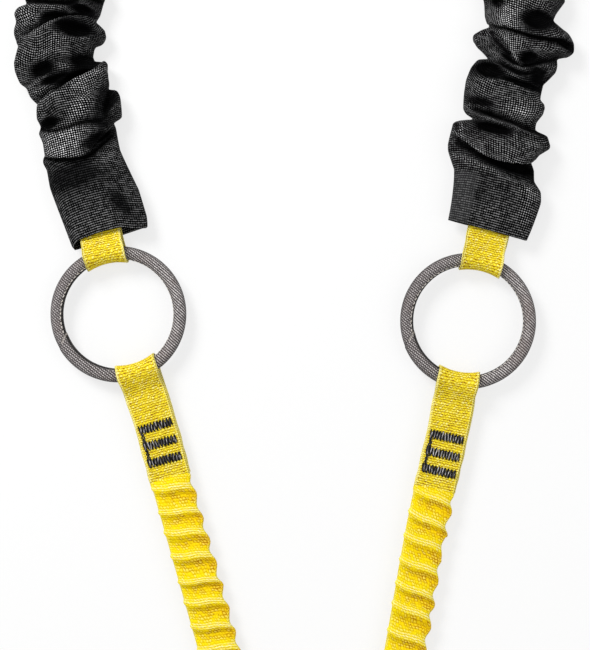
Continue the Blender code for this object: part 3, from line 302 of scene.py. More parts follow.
# Sleeve edges: millimetres along the sleeve from its cuff and out from its middle line
SLEEVE_EDGES = {
    "left": {
        "right": [(0, 23.4), (1.5, 24.0), (6, 25.0), (22.5, 25.4), (50, 21.8), (64.5, 22.1), (68, 21.3), (69.2, 26.4),
                  (70, 27.1), (80, 29.3), (82.6, 28.6), (83.8, 23.4), (87, 26.0), (93, 27.6), (106.5, 28.8),
                  (108.2, 27.6), (109.2, 21.4), (113.5, 20.2), (119, 21.0), (121.5, 22.9), (124, 26.1), (127, 27.9),
                  (131.5, 26.9), (134.5, 24.1), (136.8, 21.0), (141.5, 23.2), (149, 24.4)],
        "left": [(0, 22.4), (2, 23.5), (39.5, 25.1), (49.5, 23.9), (53.5, 25.1), (55.5, 24.6), (57.5, 22.9),
                 (64.5, 22.6), (71, 23.9), (75.5, 21.7), (83, 22.5), (86, 21.7), (90.5, 18.0), (96, 21.2),
                 (100, 21.8), (102, 25.1), (107.5, 27.1), (111.5, 27.3), (118, 24.3), (126, 27.5), (129, 27.7),
                 (133, 26.5), (137, 28.3), (140, 26.5), (143, 21.2), (145.5, 22.5), (154, 26.0), (162, 27.0)],
    },
    "right": {
        "left": [(0, 24.6), (35.5, 26.6), (47, 30.8), (50.5, 31.1), (60, 29.4), (63.6, 28.8), (65, 18.1), (66.2, 16.5),
                 (68.5, 21.5), (71, 23.5), (85, 24.9), (91.5, 24.2), (97.6, 21.6), (99.3, 15.7), (100.7, 16.6),
                 (105.5, 24.1), (111.5, 27.5), (114.5, 28.0), (116, 27.8), (120, 23.4), (121.5, 19.9), (123, 18.7),
                 (130.5, 21.8), (139, 22.8), (150, 26.0), (160, 22.0)],
        "right": [(0, 24.4), (21.5, 27.8), (27, 26.7), (31.5, 22.0), (37.5, 21.3), (42, 19.3), (44, 20.6), (51, 30.2),
                  (53.5, 30.4), (59.5, 28.2), (60.8, 23.0), (62, 20.6), (66.5, 20.9), (73, 24.3), (78, 25.0),
                  (81.5, 24.2), (84.5, 21.2), (95, 20.4), (103.5, 25.4), (106.5, 25.3), (109.8, 23.9), (110.8, 30.4),
                  (113.5, 33.6), (117.5, 33.0), (121, 30.6), (123.5, 27.8), (129, 19.0), (134, 21.3), (140, 26.0),
                  (150, 23.0), (161, 27.0)],
    },
}

# Folds of the sleeves by their kind, in millimetres, with places given as along and across:
#   ridge   height, reach towards the ring, reach towards the hook, line of its crest
#   crease  depth, half width, line
#   hollow  depth, middle, half length, half width, slope in degrees
#   light   painted light on the threads there (painted shade where it is below zero), middle, half length, half width, slope in degrees
# Besides their shapes, ridges paint a highlight along their crests, and creases and hollows paint shade round them
# that hides their threads.
SLEEVE_FOLDS = {
    "left": {
        "ridge": [
            (3.4, 2.4, 13, [(58.5, -25), (56.6, -18), (54.6, -8), (53.6, 0), (56, 6), (62, 12), (66, 19)]),
            (1.8, 5, 9, [(81, -22), (78, -6), (76, 6)]),
            (4.6, 17, 2.6, [(88.6, -20), (89.4, -12), (90.6, -3), (92.6, 6), (94.2, 14), (97, 20), (103, 25),
             (107.5, 28)]),
            (3.2, 3, 3.2, [(69.6, 16), (72.6, 21), (75, 26), (76, 29)]),
            (2.2, 2.6, 3, [(95.5, -20), (97.2, -13), (97.6, -7), (95.4, 0)]),
            (1.6, 1.4, 1.6, [(98.5, -20), (100.6, -15), (102, -10), (101.6, -4)]),
            (3, 9, 12, [(111, -27), (114, -14), (117, -2), (115, 8)]),
            (4.2, 12, 2.2, [(118.6, -25), (121.6, -20), (124.6, -15), (128.4, -8.5), (131.4, -3), (134, 3),
             (135.6, 10), (136.2, 20)]),
            (2.2, 2.6, 2, [(123.4, 3), (124, 10), (124.6, 17), (126, 22)]),
            (1.4, 1.2, 1.2, [(121.4, -25), (124.6, -20), (127.6, -15)]),
            (2.4, 6, 3, [(139, -28), (141.4, -18), (142, -4), (142.6, 3)]),
            (1.6, 1.4, 1.4, [(139, 2), (140.2, 10), (138.2, 19)]),
            (2.2, 1.6, 3, [(143.2, 5), (146.4, 9.5), (146, 16), (143.4, 21)]),
        ],
        "crease": [
            (2.6, 1.1, [(56.5, -26), (54.3, -20), (52.6, -13), (51.4, -4), (51, 2), (53.2, 9), (57, 15), (60, 19)]),
            (2.4, 1.2, [(74.5, -23), (71, -18), (69.6, -13), (70.4, -5), (71.2, 2), (70.6, 9), (70.4, 16), (73, 20)]),
            (1.6, 1, [(93.4, -14), (91.8, -8), (91, -3), (94, 3)]),
            (2.6, 1.8, [(124, -20), (128, -14), (131.4, -8), (134.6, -2), (137, 4), (138, 12), (137.8, 19)]),
            (2.6, 1.8, [(144.6, -20), (144.8, -8), (145.4, 3), (147.4, 9)]),
        ],
        "hollow": [
            (3.8, (60.6, 10), 9, 3.4, 17), (3, (75.6, -15.5), 5, 3.6, 10), (3.4, (78.5, 22.5), 7.5, 2.4, 48),
            (4.4, (98.8, 9), 13, 3.4, 14), (2.2, (100.4, -3), 8, 2, 8), (3.6, (107, -9.5), 6.5, 3.6, 16),
            (3, (108, 16), 8, 5.5, -10), (4.8, (128.6, 9.5), 10, 3.4, -4), (1.8, (136.4, -4), 7, 2.4, 12),
            (3.6, (142.6, 13.5), 5.5, 2.4, -14),
        ],
        "light": [
            (-0.22, (42, -8), 20, 9, 0), (-0.3, (17, 13), 4, 9, 20), (0.1, (9, -3), 18, 7, 0),
            (0.14, (46, 14), 8, 5, 10), (0.95, (61.5, -10), 12, 7.5, -10), (0.55, (68.5, -4), 9, 2.6, -4),
            (0.85, (92, 14), 13, 3.2, 22), (0.75, (79, 4), 13, 3.6, 34), (0.35, (88.5, -8), 9, 1.8, 6),
            (0.3, (83, -18.5), 2, 4, 0), (0.3, (98, 24.5), 7, 3, 50), (-0.25, (80, 20), 8, 4, 25),
            (0.45, (96, -12), 8, 2, -6), (0.4, (101, -14), 6, 1, 20), (0.2, (116, -10), 12, 6, 18),
            (0.28, (108, 3), 8, 2.4, -8), (0.12, (110, -22), 4, 7, 0), (0.55, (128.6, -7.5), 10, 1.8, 38),
            (0.25, (123.5, 0), 8, 4, 20), (0.22, (123.6, 12), 9, 1.6, 2), (0.35, (125.4, -19), 5, 1, 30),
            (0.5, (136.5, -19), 7, 4.5, 10), (0.3, (141.6, -4), 12, 1.8, 2),
        ],
    },
    "right": {
        "ridge": [
            (0.9, 1.6, 1.6, [(33, -14.5), (33, -13)]),
            (2.2, 7, 3, [(44, -29), (41.6, -22), (38.4, -14), (35.4, -5), (31.4, 3), (28.8, 12), (27, 19)]),
            (5, 2, 13, [(57.4, -27), (54, -21), (50.6, -15.5), (47.6, -10), (45.2, -3.6), (43.9, 3),
             (43.3, 10), (43, 18), (45, 22)]),
            (2.8, 2.2, 1.8, [(69, -21), (66.6, -12), (65, -5), (63.8, 3), (61.6, 9), (59.6, 14), (58, 21)]),
            (3.6, 9, 14, [(77, -24), (76, -8), (74.5, 4), (73, 16), (74, 25)]),
            (1.6, 3, 1.4, [(85.6, -15), (87.4, -9), (88.8, -3), (88.4, 3), (87, 10), (86, 21)]),
            (1.8, 1.6, 1.6, [(97.4, -10), (94.8, -5), (93.4, 1), (94.4, 7), (97.4, 12)]),
            (2.2, 1.6, 1.6, [(104, -15), (101.4, -9), (98.8, -2), (98.6, 4), (100.4, 9), (103.4, 15), (105.2, 22)]),
            (3, 6, 6, [(112, -27), (111, -22), (109, -18)]),
            (4, 1.8, 9, [(120.4, -17), (117.4, -12.6), (112.8, -8), (107.8, -3.4), (103.4, 0.4), (101.8, 3)]),
            (1.8, 4, 5, [(110, 11), (112.6, 17), (113.4, 24), (112.4, 30)]),
            (1.6, 1, 3, [(119.4, 21), (119.6, 27), (117.8, 32)]),
            (3.8, 3, 13, [(126, -20), (124.6, -8), (122.8, 0), (121.4, 8), (121.2, 18), (122, 26)]),
            (2, 5, 5, [(139, -10), (138, 4), (138, 20)]),
        ],
        "crease": [
            (3, 2.2, [(52, -26), (48.4, -19), (44, -10), (41.4, -2), (39.6, 7), (37.6, 16), (34, 21)]),
            (1.4, 0.9, [(64, -27.5), (58.4, -26.4), (55.4, -25.6)]),
            (3.4, 1.8, [(71.4, -17), (69.4, -9), (67.2, -1), (65.2, 7), (62, 15), (60, 22), (58.8, 29)]),
            (1.8, 1.1, [(99, -9), (97.2, -3), (96, 3), (97, 8), (100, 13)]),
            (2.2, 1.2, [(104, -8), (101, 0), (101.2, 6), (104.4, 12), (108, 20), (109, 25)]),
            (1.6, 1.2, [(120, -17.6), (115, -17), (112, -14), (108, -8), (105, -4)]),
            (3, 1.5, [(124, -18), (122.8, -11), (121, -4), (119.6, 3), (118.6, 11), (118.2, 19), (118.8, 24)]),
            (2.4, 1.8, [(147, -25), (146, -5), (145, 10), (147, 25)]),
        ],
        "hollow": [
            (3.6, (38.4, 9), 13, 3, -12), (3.2, (60.8, -5), 10, 2.6, -8), (1.8, (76.2, -15), 8, 1.8, -4),
            (4.6, (92.6, -13.5), 8, 4, 4), (2.6, (90.4, 8), 13, 1.8, 0), (2.4, (97, 17), 5, 4, 30),
            (4, (106.6, 6.2), 5.2, 2.8, 6), (4.2, (116, 28), 5.8, 2, -16), (5.6, (129, 9), 9.8, 4.6, -6),
            (3.8, (138.2, -15), 3.4, 3, 0),
        ],
        "light": [
            (0.1, (18, -18), 6, 16, 0), (-0.12, (20, -10), 3, 12, 0), (0.65, (25.4, 19), 5, 3.2, -20),
            (0.25, (14, 19), 4, 9, 10), (0.1, (10, 0), 14, 6, 0), (0.35, (36.4, -8), 12, 2, -20),
            (0.2, (42, -20), 8, 3, -20), (1, (50.2, -15), 10, 1.2, -28), (0.6, (44.4, 4), 15, 1, -6),
            (0.25, (50, 0), 15, 4, -14), (0.3, (56.6, 8.5), 2, 4, 0), (0.5, (59, -25), 1.2, 4, -10),
            (0.2, (54, 20), 8, 4, 0), (0.55, (65, -4), 12, 1.3, -14), (0.3, (60.5, 12), 7, 1.2, -24),
            (0.3, (72.6, -16), 6, 1.6, 0), (0.95, (71, 8), 8, 4.4, -12), (0.3, (78, 12), 12, 6, 8),
            (0.22, (83.5, -12), 9, 4, 0), (0.25, (87.4, -2), 12, 1.2, 4), (0.45, (94.4, -2), 7, 1.2, -12),
            (0.5, (99.4, 2), 8, 1.1, 0), (0.35, (104.4, 19), 6, 1, 14), (0.45, (102.6, -13), 6, 1.6, -24),
            (0.25, (100.6, 20.4), 1.4, 4, -20), (0.1, (111, -22), 4, 6, 20), (1, (110.6, -5), 9, 2.2, -50),
            (0.6, (116.5, -6), 7, 3, -40), (0.3, (113, 0), 4, 6, 0), (0.22, (113, 16), 8, 4, 10),
            (1, (129.6, -9), 7.5, 8, 0), (0.22, (123, 18), 9, 2.4, -14), (0.35, (136, 0), 9, 4, 0),
            (0.35, (135.4, 13), 7, 1.8, -32),
        ],
    },
}
SEEN_FOLDS = 150.0      # millimetres of sleeve that the photograph shows
CUFF_LENGTH = {"left": 52.0, "right": 36.0}
# How far the cuff's upper layer stops short of the lower one: across, along
SLEEVE_LIPS = {"left": [(-24, 1.0), (-19, 4.6), (-6, 5.2), (8, 4.4), (15, 1.0), (23, -1.2)],
               "right": [(-24, 0), (24, -0.8)]}
SLEEVE_CLOTH_WIDTH = 0.104


# Settings that a user would change

class LanyardCloth(bpy.types.PropertyGroup):
    """Colours and weave of the webbing, sleeves, covers and thread."""

    webbing_colour: bpy.props.FloatVectorProperty(
        name="Webbing", description="Colour of the arm webbing", subtype="COLOR", default=(0.93, 0.76, 0.016))
    # Painted highlight: laid on the tops of some raised yarns of the webbing and the gathers.
    webbing_bright: bpy.props.FloatVectorProperty(
        name="Webbing highlights", description="Colour of the brightest yarns", subtype="COLOR",
        default=(1.0, 0.93, 0.36))
    # Pale yarn of the webbing's woven edges; on the gathers it also colours the pale cord rows of the crests, which
    # are partly painted highlight.
    webbing_pale: bpy.props.FloatVectorProperty(
        name="Webbing pale rows", description="Colour of the stretched yarns at edges and crests", subtype="COLOR",
        default=(1.0, 0.95, 0.50))
    webbing_deep: bpy.props.FloatVectorProperty(
        name="Webbing hollows", description="Colour between the yarns", subtype="COLOR", default=(0.56, 0.35, 0.006))
    gather_colour: bpy.props.FloatVectorProperty(
        name="Gathers", description="Colour of the gathered webbing", subtype="COLOR", default=(0.95, 0.765, 0.001))
    # Painted shade: laid below each row of gathers, heavier on one side.
    gather_painted_shade: bpy.props.FloatVectorProperty(
        name="Gather hollows", description="Colour below each row of gathers", subtype="COLOR",
        default=(0.86, 0.46, 0.001))
    sleeve_ground: bpy.props.FloatVectorProperty(
        name="Sleeve", description="Colour of the sleeve's ground weave", subtype="COLOR",
        default=(0.0010, 0.0010, 0.0011))
    # The raised threads' colour where the sleeve's folds paint them into full shade; painted light draws them towards
    # the next colour.
    sleeve_dim: bpy.props.FloatVectorProperty(
        name="Sleeve threads", description="Colour of the sleeve's raised threads", subtype="COLOR",
        default=(0.024, 0.024, 0.025))
    # Painted highlight: the raised threads' colour where the painted light of the sleeve's folds is full.
    sleeve_dots: bpy.props.FloatVectorProperty(
        name="Sleeve bright threads", description="Colour of the raised threads where they are stretched",
        subtype="COLOR", default=(0.86, 0.86, 0.87))
    cover_colour: bpy.props.FloatVectorProperty(
        name="Ring cover", description="Colour of the ring's woven cover", subtype="COLOR",
        default=(0.105, 0.090, 0.092))
    thread_colour: bpy.props.FloatVectorProperty(
        name="Tack thread", description="Colour of the bar tacks' thread", subtype="COLOR",
        default=(0.078, 0.074, 0.075))
    row_pitch: bpy.props.FloatProperty(
        name="Webbing row", description="Distance between two rows of the weave", unit="LENGTH", default=0.00145)
    bump_width: bpy.props.FloatProperty(
        name="Webbing yarn", description="Width of one raised yarn", unit="LENGTH", default=0.0018)
    dot_row: bpy.props.FloatProperty(
        name="Sleeve row", description="Distance between two rows of dots", unit="LENGTH", default=0.00137)
    dot_pitch: bpy.props.FloatProperty(
        name="Sleeve dot", description="Distance between two dots of a row", unit="LENGTH", default=0.00135)
    rib_pitch: bpy.props.FloatProperty(
        name="Cover rib", description="Distance between two ribs along the ring", unit="LENGTH", default=0.00142)


class LanyardFolds(bpy.types.PropertyGroup):
    """Folds of the sleeves and gathers of the lower arms."""

    cuff_half_height: bpy.props.FloatProperty(
        name="Cuff half height", description="Half of the cuff's height", unit="LENGTH", default=0.0068)
    sleeve_half_height: bpy.props.FloatProperty(
        name="Sleeve half height", description="Half of the gathered sleeve's height", unit="LENGTH", default=0.0078)
    fold_share: bpy.props.FloatProperty(
        name="Fold strength", description="Share of the measured fold heights", default=1.25)
    fold_lean: bpy.props.FloatProperty(
        name="Fold lean", description="How far a crest leans over its steep side, as a share of its height",
        default=0.55)
    wave_height: bpy.props.FloatProperty(
        name="Gather height", description="Height of the waves of the elasticated webbing", unit="LENGTH",
        default=0.0022)


class LanyardStage(bpy.types.PropertyGroup):
    """Camera and light."""

    camera_height: bpy.props.FloatProperty(
        name="Camera height", description="Height of the camera over the floor", unit="LENGTH", default=1.0955)
    focal_length: bpy.props.FloatProperty(
        name="Focal length", description="Focal length in millimetres on a 36 mm sensor", default=100.0)
    key_power: bpy.props.FloatProperty(
        name="Key light", description="Power of the large soft lamp, in watts", default=20.0)
    sky: bpy.props.FloatProperty(
        name="Sky", description="Strength of the even light from all round", default=0.52)


# Routes

def smooth_step(t):
    """0 to 1 with level ends."""
    t = np.clip(t, 0.0, 1.0)
    return t * t * (3 - 2 * t)


def run_of(points):
    """The way along a line of points, at each of them."""
    return np.concatenate([[0.0], np.cumsum(np.linalg.norm(np.diff(points, axis=0), axis=1))])


def nearest(shares, count):
    """Which of the grid's lines each share belongs to."""
    return np.round(shares * count).astype(int)


class Route:
    """A smooth flat line through a few points, read by the length along it."""

    def __init__(self, points, samples=24):
        spots = np.array(points, float)
        steps = np.diff(spots, axis=0)
        spans = np.linalg.norm(steps, axis=1)[:, None]
        ways = steps / spans
        inner = (ways[:-1] * spans[1:] + ways[1:] * spans[:-1]) / (spans[1:] + spans[:-1])
        slopes = np.vstack([ways[:1], inner, ways[-1:]])
        t = (np.arange(samples) / samples)[:, None]
        line = [
            spots[i] * (2 * t**3 - 3 * t**2 + 1) + slopes[i] * spans[i] * (t**3 - 2 * t**2 + t)
            + spots[i + 1] * (3 * t**2 - 2 * t**3) + slopes[i + 1] * spans[i] * (t**3 - t**2)
            for i in range(len(spans))
        ]
        self.points = np.vstack(line + [spots[-1:]])
        self.lengths = run_of(self.points)
        self.length = self.lengths[-1]
        ways = np.gradient(self.points, self.lengths, axis=0)
        self.ways = ways / np.linalg.norm(ways, axis=1)[:, None]

    def at(self, distance):
        """Points and directions at lengths along, straight on past either end."""
        inside = np.clip(distance, 0.0, self.length)
        point = np.stack([np.interp(inside, self.lengths, self.points[:, k]) for k in (0, 1)], -1)
        way = np.stack([np.interp(inside, self.lengths, self.ways[:, k]) for k in (0, 1)], -1)
        way = way / np.linalg.norm(way, axis=-1)[..., None]
        return point + way * (distance - inside)[..., None], way


class Strap:
    """A route with the height of its middle at each end."""

    def __init__(self, points, start_height, end_height):
        self.route = Route(points)
        self.heights = (start_height, end_height)
        self.length = self.route.length

    def turned_round(self):
        """The same strap read from its other end."""
        other = Strap.__new__(Strap)
        other.route = Route(self.route.points[::-1], samples=1)
        other.heights = self.heights[::-1]
        other.length = other.route.length
        return other

    def height(self, distance):
        low, high = self.heights
        return low + (high - low) * smooth_step(distance / self.length)

    def place(self, distance, across, above):
        """Points by their length along, offset to the right and height over the middle."""
        point, way = self.route.at(distance)
        side = np.stack([way[..., 1], -way[..., 0]], -1)
        flat = point + side * across[..., None]
        return np.concatenate([flat, (self.height(distance) + above)[..., None]], -1)

    def spot(self, distance):
        """One point on the strap's middle."""
        return Vector(self.place(np.array([distance]), np.zeros(1), np.zeros(1))[0])


def joint_place(name):
    """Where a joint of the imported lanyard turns."""
    return Vector(next(j for j in frame["joints"] if j["name"] == name)["pos_m"])


def heading(angle):
    """The flat direction of a heading clockwise from up."""
    return np.array((math.sin(angle), math.cos(angle)))


def lower_strap(prefix):
    """The lower arm from its ring to the yoke link."""
    arm = ARMS[prefix]
    ring, yoke = joint_place(f"{prefix}_ring_swing"), joint_place(f"{prefix}_arm_swing")
    start, end = np.array(ring.xy), np.array(yoke.xy)
    lead = heading(arm["side"] * LINK_SLOPE + YOKE_TURN) * 0.03
    middle = [PHOTO_MIDDLE + p for p in arm["middle"]]
    return Strap([start, start + heading(arm["lower"]) * 0.025, *middle, end + lead, end], ring.z, yoke.z)


def upper_strap(prefix):
    """The upper arm's webbing from its ring to its hook."""
    arm = ARMS[prefix]
    ring, hook_axis = joint_place(f"{prefix}_upper_swing"), joint_place(f"{prefix}_hook_swing")
    start, end = np.array(ring.xy), np.array(hook_axis.xy)
    middle = [PHOTO_MIDDLE + p for p in arm["sleeve"][2:]]
    points = [start, start + heading(arm["upper"]) * 0.020, *middle, end - (0.0, 0.030), end]
    return Strap(points, ring.z, hook_axis.z)


def sleeve_strap(prefix):
    """The sleeve's middle line from its cuff to its upper edge."""
    ring, hook_axis = joint_place(f"{prefix}_upper_swing"), joint_place(f"{prefix}_hook_swing")
    points = [PHOTO_MIDDLE + p for p in ARMS[prefix]["sleeve"]] + [np.array(hook_axis.xy) - (0.0, 0.061)]
    return Strap(points, ring.z, hook_axis.z)


# Meshes

def mesh_of(name, bm):
    """A bmesh stored as a mesh."""
    mesh = bpy.data.meshes.new(name)
    bm.to_mesh(mesh)
    bm.free()
    return mesh


def linked(name, data):
    """A new object in the scene."""
    thing = bpy.data.objects.new(name, data)
    bpy.context.scene.collection.objects.link(thing)
    return thing


def piece(name, mesh, finish, body=None):
    """A mesh as a piece of the lanyard, with one of the finishes, on a body unless it is blended later."""
    thing = linked(name, mesh)
    mesh.materials.append(material(finish))
    if body:
        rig.ride(thing, body)
    return thing


def finished(name, bm, finish, body):
    """A bmesh as a piece on a body, with smooth faces."""
    mesh = mesh_of(name, bm)
    mesh.shade_smooth()
    return piece(name, mesh, finish, body)


def stands_for(thing, node, slot):
    """Say which solid a piece replaces and what it is made of."""
    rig.replaces(thing, node)
    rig.slot(thing, slot)


def skin(name, columns, rows, place, finish, body=None, wraps=False, caps=False):
    """A grid whose corners are put by place(share across, share along), which also gives cloth coordinates
    and named marks. It may wrap round on itself, and its ends may be capped."""
    bm = bmesh.new()
    bmesh.ops.create_grid(bm, x_segments=columns, y_segments=rows, size=0.5)
    mesh = mesh_of(name, bm)
    flat = np.empty(len(mesh.vertices) * 3, np.float32)
    mesh.vertices.foreach_get("co", flat)
    shares = flat.reshape(-1, 3)[:, :2].astype(float) + 0.5
    shares = np.round(shares * (columns, rows)) / (columns, rows)
    spots, cloth, marks = place(shares[:, 0], shares[:, 1])
    mesh.vertices.foreach_set("co", spots.astype(np.float32).ravel())
    layer = mesh.uv_layers.new(name="cloth")
    corners = np.empty(len(mesh.loops), np.int32)
    mesh.loops.foreach_get("vertex_index", corners)
    layer.uv.foreach_set("vector", cloth[corners].astype(np.float32).ravel())
    for mark, values in marks.items():
        mesh.attributes.new(mark, "FLOAT", "POINT").data.foreach_set("value", values.astype(np.float32))
    bm = bmesh.new()
    bm.from_mesh(mesh)
    if wraps:
        bmesh.ops.remove_doubles(bm, verts=bm.verts, dist=0.000001)
    if caps:
        bmesh.ops.holes_fill(bm, edges=[e for e in bm.edges if e.is_boundary], sides=0)
    bmesh.ops.recalc_face_normals(bm, faces=bm.faces)
    bm.to_mesh(mesh)
    bm.free()
    mesh.shade_smooth()
    if caps:
        mesh.set_sharp_from_angle(angle=math.radians(50))
    return piece(name, mesh, finish, body)


def band_section(half_width, half_thick, straight=16, edge=5):
    """Corners round a flat band with rounded edges, as offset across, outward, and way round."""
    reach = half_width - half_thick
    over = [(-reach + 2 * reach * k / straight, half_thick) for k in range(straight)]
    right = [(reach + half_thick * math.sin(math.pi * k / edge), half_thick * math.cos(math.pi * k / edge))
             for k in range(edge)]
    spots = over + right + [(-x, -z) for x, z in over + right] + [over[0]]
    spots = np.array(spots)
    return spots[:, 0], spots[:, 1], run_of(spots) - reach


def grains(name, places, finish, body, sides=8, rings=6, tones=None):
    """Many short thread stitches in one piece, each a drawn-out grain put by a matrix, pale or dark by its tone."""
    bm = bmesh.new()
    for place in places:
        bmesh.ops.create_uvsphere(bm, u_segments=sides, v_segments=rings, radius=1.0, matrix=place)
    bmesh.ops.recalc_face_normals(bm, faces=bm.faces)
    made = finished(name, bm, finish, body)
    tones = np.repeat(np.full(len(places), 0.5) if tones is None else tones, len(made.data.vertices) // len(places))
    made.data.attributes.new("tone", "FLOAT", "POINT").data.foreach_set("value", tones.astype(np.float32))
    return made


def laid(spot, way, up, length, width, height, skew=0.0):
    """The matrix of a stitch lying at a spot along a direction."""
    along = Vector(way).normalized()
    up = Vector(up).normalized()
    across = along.cross(up).normalized()
    up = across.cross(along)
    along = (along + across * skew).normalized()
    across = along.cross(up).normalized()
    turn = Matrix((across, along, up)).transposed().to_4x4()
    return Matrix.Translation(spot) @ turn @ Matrix.Diagonal((width / 2, length / 2, height / 2, 1.0))


# Shader nodes

class Signal:
    """What comes out of a node, to be reckoned with like a number."""

    def __init__(self, board, socket):
        self.board = board
        self.socket = socket

    def __add__(self, other):
        return self.board.calc("ADD", self, other)

    def __sub__(self, other):
        return self.board.calc("SUBTRACT", self, other)

    def __rsub__(self, other):
        return self.board.calc("SUBTRACT", other, self)

    def __mul__(self, other):
        return self.board.calc("MULTIPLY", self, other)

    def __truediv__(self, other):
        return self.board.calc("DIVIDE", self, other)

    def larger(self, other):
        return self.board.calc("MAXIMUM", self, other)

    def size(self):
        return self.board.calc("ABSOLUTE", self)

    def floor(self):
        return self.board.calc("FLOOR", self)

    def fract(self):
        return self.board.calc("FRACT", self)

    def hump(self, power):
        """A rounded rise over 0 to 1."""
        return self.board.calc("POWER", self.board.calc("SINE", self * math.pi).larger(0.0), power)

    def ramp(self, low, high, first=0.0, last=1.0):
        """From first to last with level ends, while the signal goes from low to high."""
        return self.board.out("ShaderNodeMapRange", {0: self, 1: low, 2: high, 3: first, 4: last},
                              interpolation_type="SMOOTHSTEP")


class Board:
    """A node tree with short calls for its nodes and wires."""

    def __init__(self, tree):
        self.tree = tree

    def add(self, kind, sockets=None, **settings):
        node = self.tree.nodes.new(kind)
        for key, value in settings.items():
            setattr(node, key, value)
        for slot, value in (sockets or {}).items():
            self.feed(node.inputs[slot], value)
        return node

    def out(self, kind, sockets=None, pick=0, **settings):
        """Add a node and read one of its outputs."""
        return Signal(self, self.add(kind, sockets, **settings).outputs[pick])

    def signals(self, node):
        return {socket.name: Signal(self, socket) for socket in node.outputs}

    def feed(self, socket, value):
        """Wire a signal into a socket, or set it to a value; a colour may leave out its alpha."""
        if isinstance(value, Signal):
            self.tree.links.new(value.socket, socket)
        elif socket.type == "RGBA":
            socket.default_value = (*value, 1.0)
        else:
            socket.default_value = value

    def calc(self, operation, *values):
        return self.out("ShaderNodeMath", dict(enumerate(values)), operation=operation)

    def mix(self, share, first, last):
        return self.out("ShaderNodeMix", {0: share, 2: first, 3: last}, data_type="FLOAT")

    def blend(self, share, first, last):
        return self.out("ShaderNodeMix", {0: share, 6: first, 7: last}, 2, data_type="RGBA")

    def coats(self, base, *coats):
        """A colour with others laid over it, each by its share."""
        for share, tone in coats:
            base = self.blend(share, base, tone)
        return base

    def noise(self, place, scale, detail=2.0, roughness=0.5):
        return self.out("ShaderNodeTexNoise", {"Vector": place, "Scale": scale, "Detail": detail,
                                               "Roughness": roughness}, "Fac")

    def chance(self, *numbers):
        """A random value for each set of numbers."""
        return self.out("ShaderNodeTexWhiteNoise", {"Vector": self.vector(*numbers)}, "Value",
                        noise_dimensions="3D")

    def vector(self, x, y, z=0.0):
        return self.out("ShaderNodeCombineXYZ", {0: x, 1: y, 2: z})

    def split(self, vector):
        """The first two coordinates of a vector."""
        node = self.add("ShaderNodeSeparateXYZ", {0: vector})
        return Signal(self, node.outputs[0]), Signal(self, node.outputs[1])

    def stretched(self, place, scale, turn=0.0):
        return self.out("ShaderNodeMapping", {"Vector": place, "Scale": scale, "Rotation": (0.0, 0.0, turn)})

    def mark(self, name):
        return self.out("ShaderNodeAttribute", pick="Fac", attribute_name=name)

    def cloth(self):
        return self.out("ShaderNodeUVMap", uv_map="cloth")

    def local(self):
        return self.out("ShaderNodeTexCoord", pick="Object")

    def use(self, group, **sockets):
        sockets = {name.replace("_", " "): value for name, value in sockets.items()}
        return self.signals(self.add("ShaderNodeGroup", sockets, node_tree=group))


def group(name, place, numbers, wire):
    """A shader node group built once, with a place, some numbers and what wire returns as its sockets."""
    tree = bpy.data.node_groups.get(name)
    if tree:
        return tree
    tree = bpy.data.node_groups.new(name, "ShaderNodeTree")
    tree.interface.new_socket(name=place, in_out="INPUT", socket_type="NodeSocketVector")
    for title, default in numbers.items():
        tree.interface.new_socket(name=title, in_out="INPUT", socket_type="NodeSocketFloat").default_value = default
    board = Board(tree)
    values = wire(board, board.signals(board.add("NodeGroupInput")))
    for title in values:
        tree.interface.new_socket(name=title, in_out="OUTPUT", socket_type="NodeSocketFloat")
    board.add("NodeGroupOutput", values)
    return tree


def cells(board, cloth, width, height, lean=0.0, offset=0.5):
    """Cells over the cloth, each row a step on: their column and row numbers and the place inside each."""
    u, v = board.split(cloth)
    down = v / height
    row = down.floor()
    shift = board.calc("MODULO", row, 2.0) * offset
    if lean:
        shift = shift + down.fract() * lean
    along = u / width + shift
    return along.floor(), row, along.fract(), down.fract()


def webbing_weave():
    """Raised yarns in brick order, no two quite alike, with a herringbone edge."""

    def wire(board, source):
        cloth, pitch, half_width = source["Cloth"], source["Row"], source["Half width"]
        u, v = board.split(cloth)
        sway = (board.noise(cloth, 260.0) - 0.5) * source["Sway"]
        jog = (board.noise(cloth, 640.0, 1.0) - 0.5) * 0.0012
        column, row, x, y = cells(board, board.vector(u + sway, v + jog + sway * 0.7), source["Yarn"], pitch, 0.45)
        chance = board.chance(column, row, 3.7)
        between = (y - 0.5).size().ramp(0.16, 0.38)
        gap = between * x.hump(1.0) * board.chance(column, row, 8.1).ramp(0.05, 0.60, 0.25, 1.0)
        hair = board.noise(board.vector(u * 2600.0, v * 900.0), 1.0)
        yarn = x.hump(0.55) * y.hump(0.75) * hair.ramp(0.25, 0.75, 0.62, 1.0) * chance.ramp(0.0, 1.0, 0.74, 1.0)
        off = u.size()
        edge = off.ramp(half_width - 0.0017, half_width - 0.0011)
        twill = (v / pitch + off / pitch).fract().hump(0.8)
        return {"Height": board.mix(edge, yarn, twill), "Chance": chance, "Edge": edge,
                "Gap": gap * edge.ramp(0.0, 1.0, 1.0, 0.5)}

    return group("Webbing weave", "Cloth", {"Row": 0.0016, "Yarn": 0.0019, "Half width": WEB_HALF, "Sway": 0.0022},
                 wire)


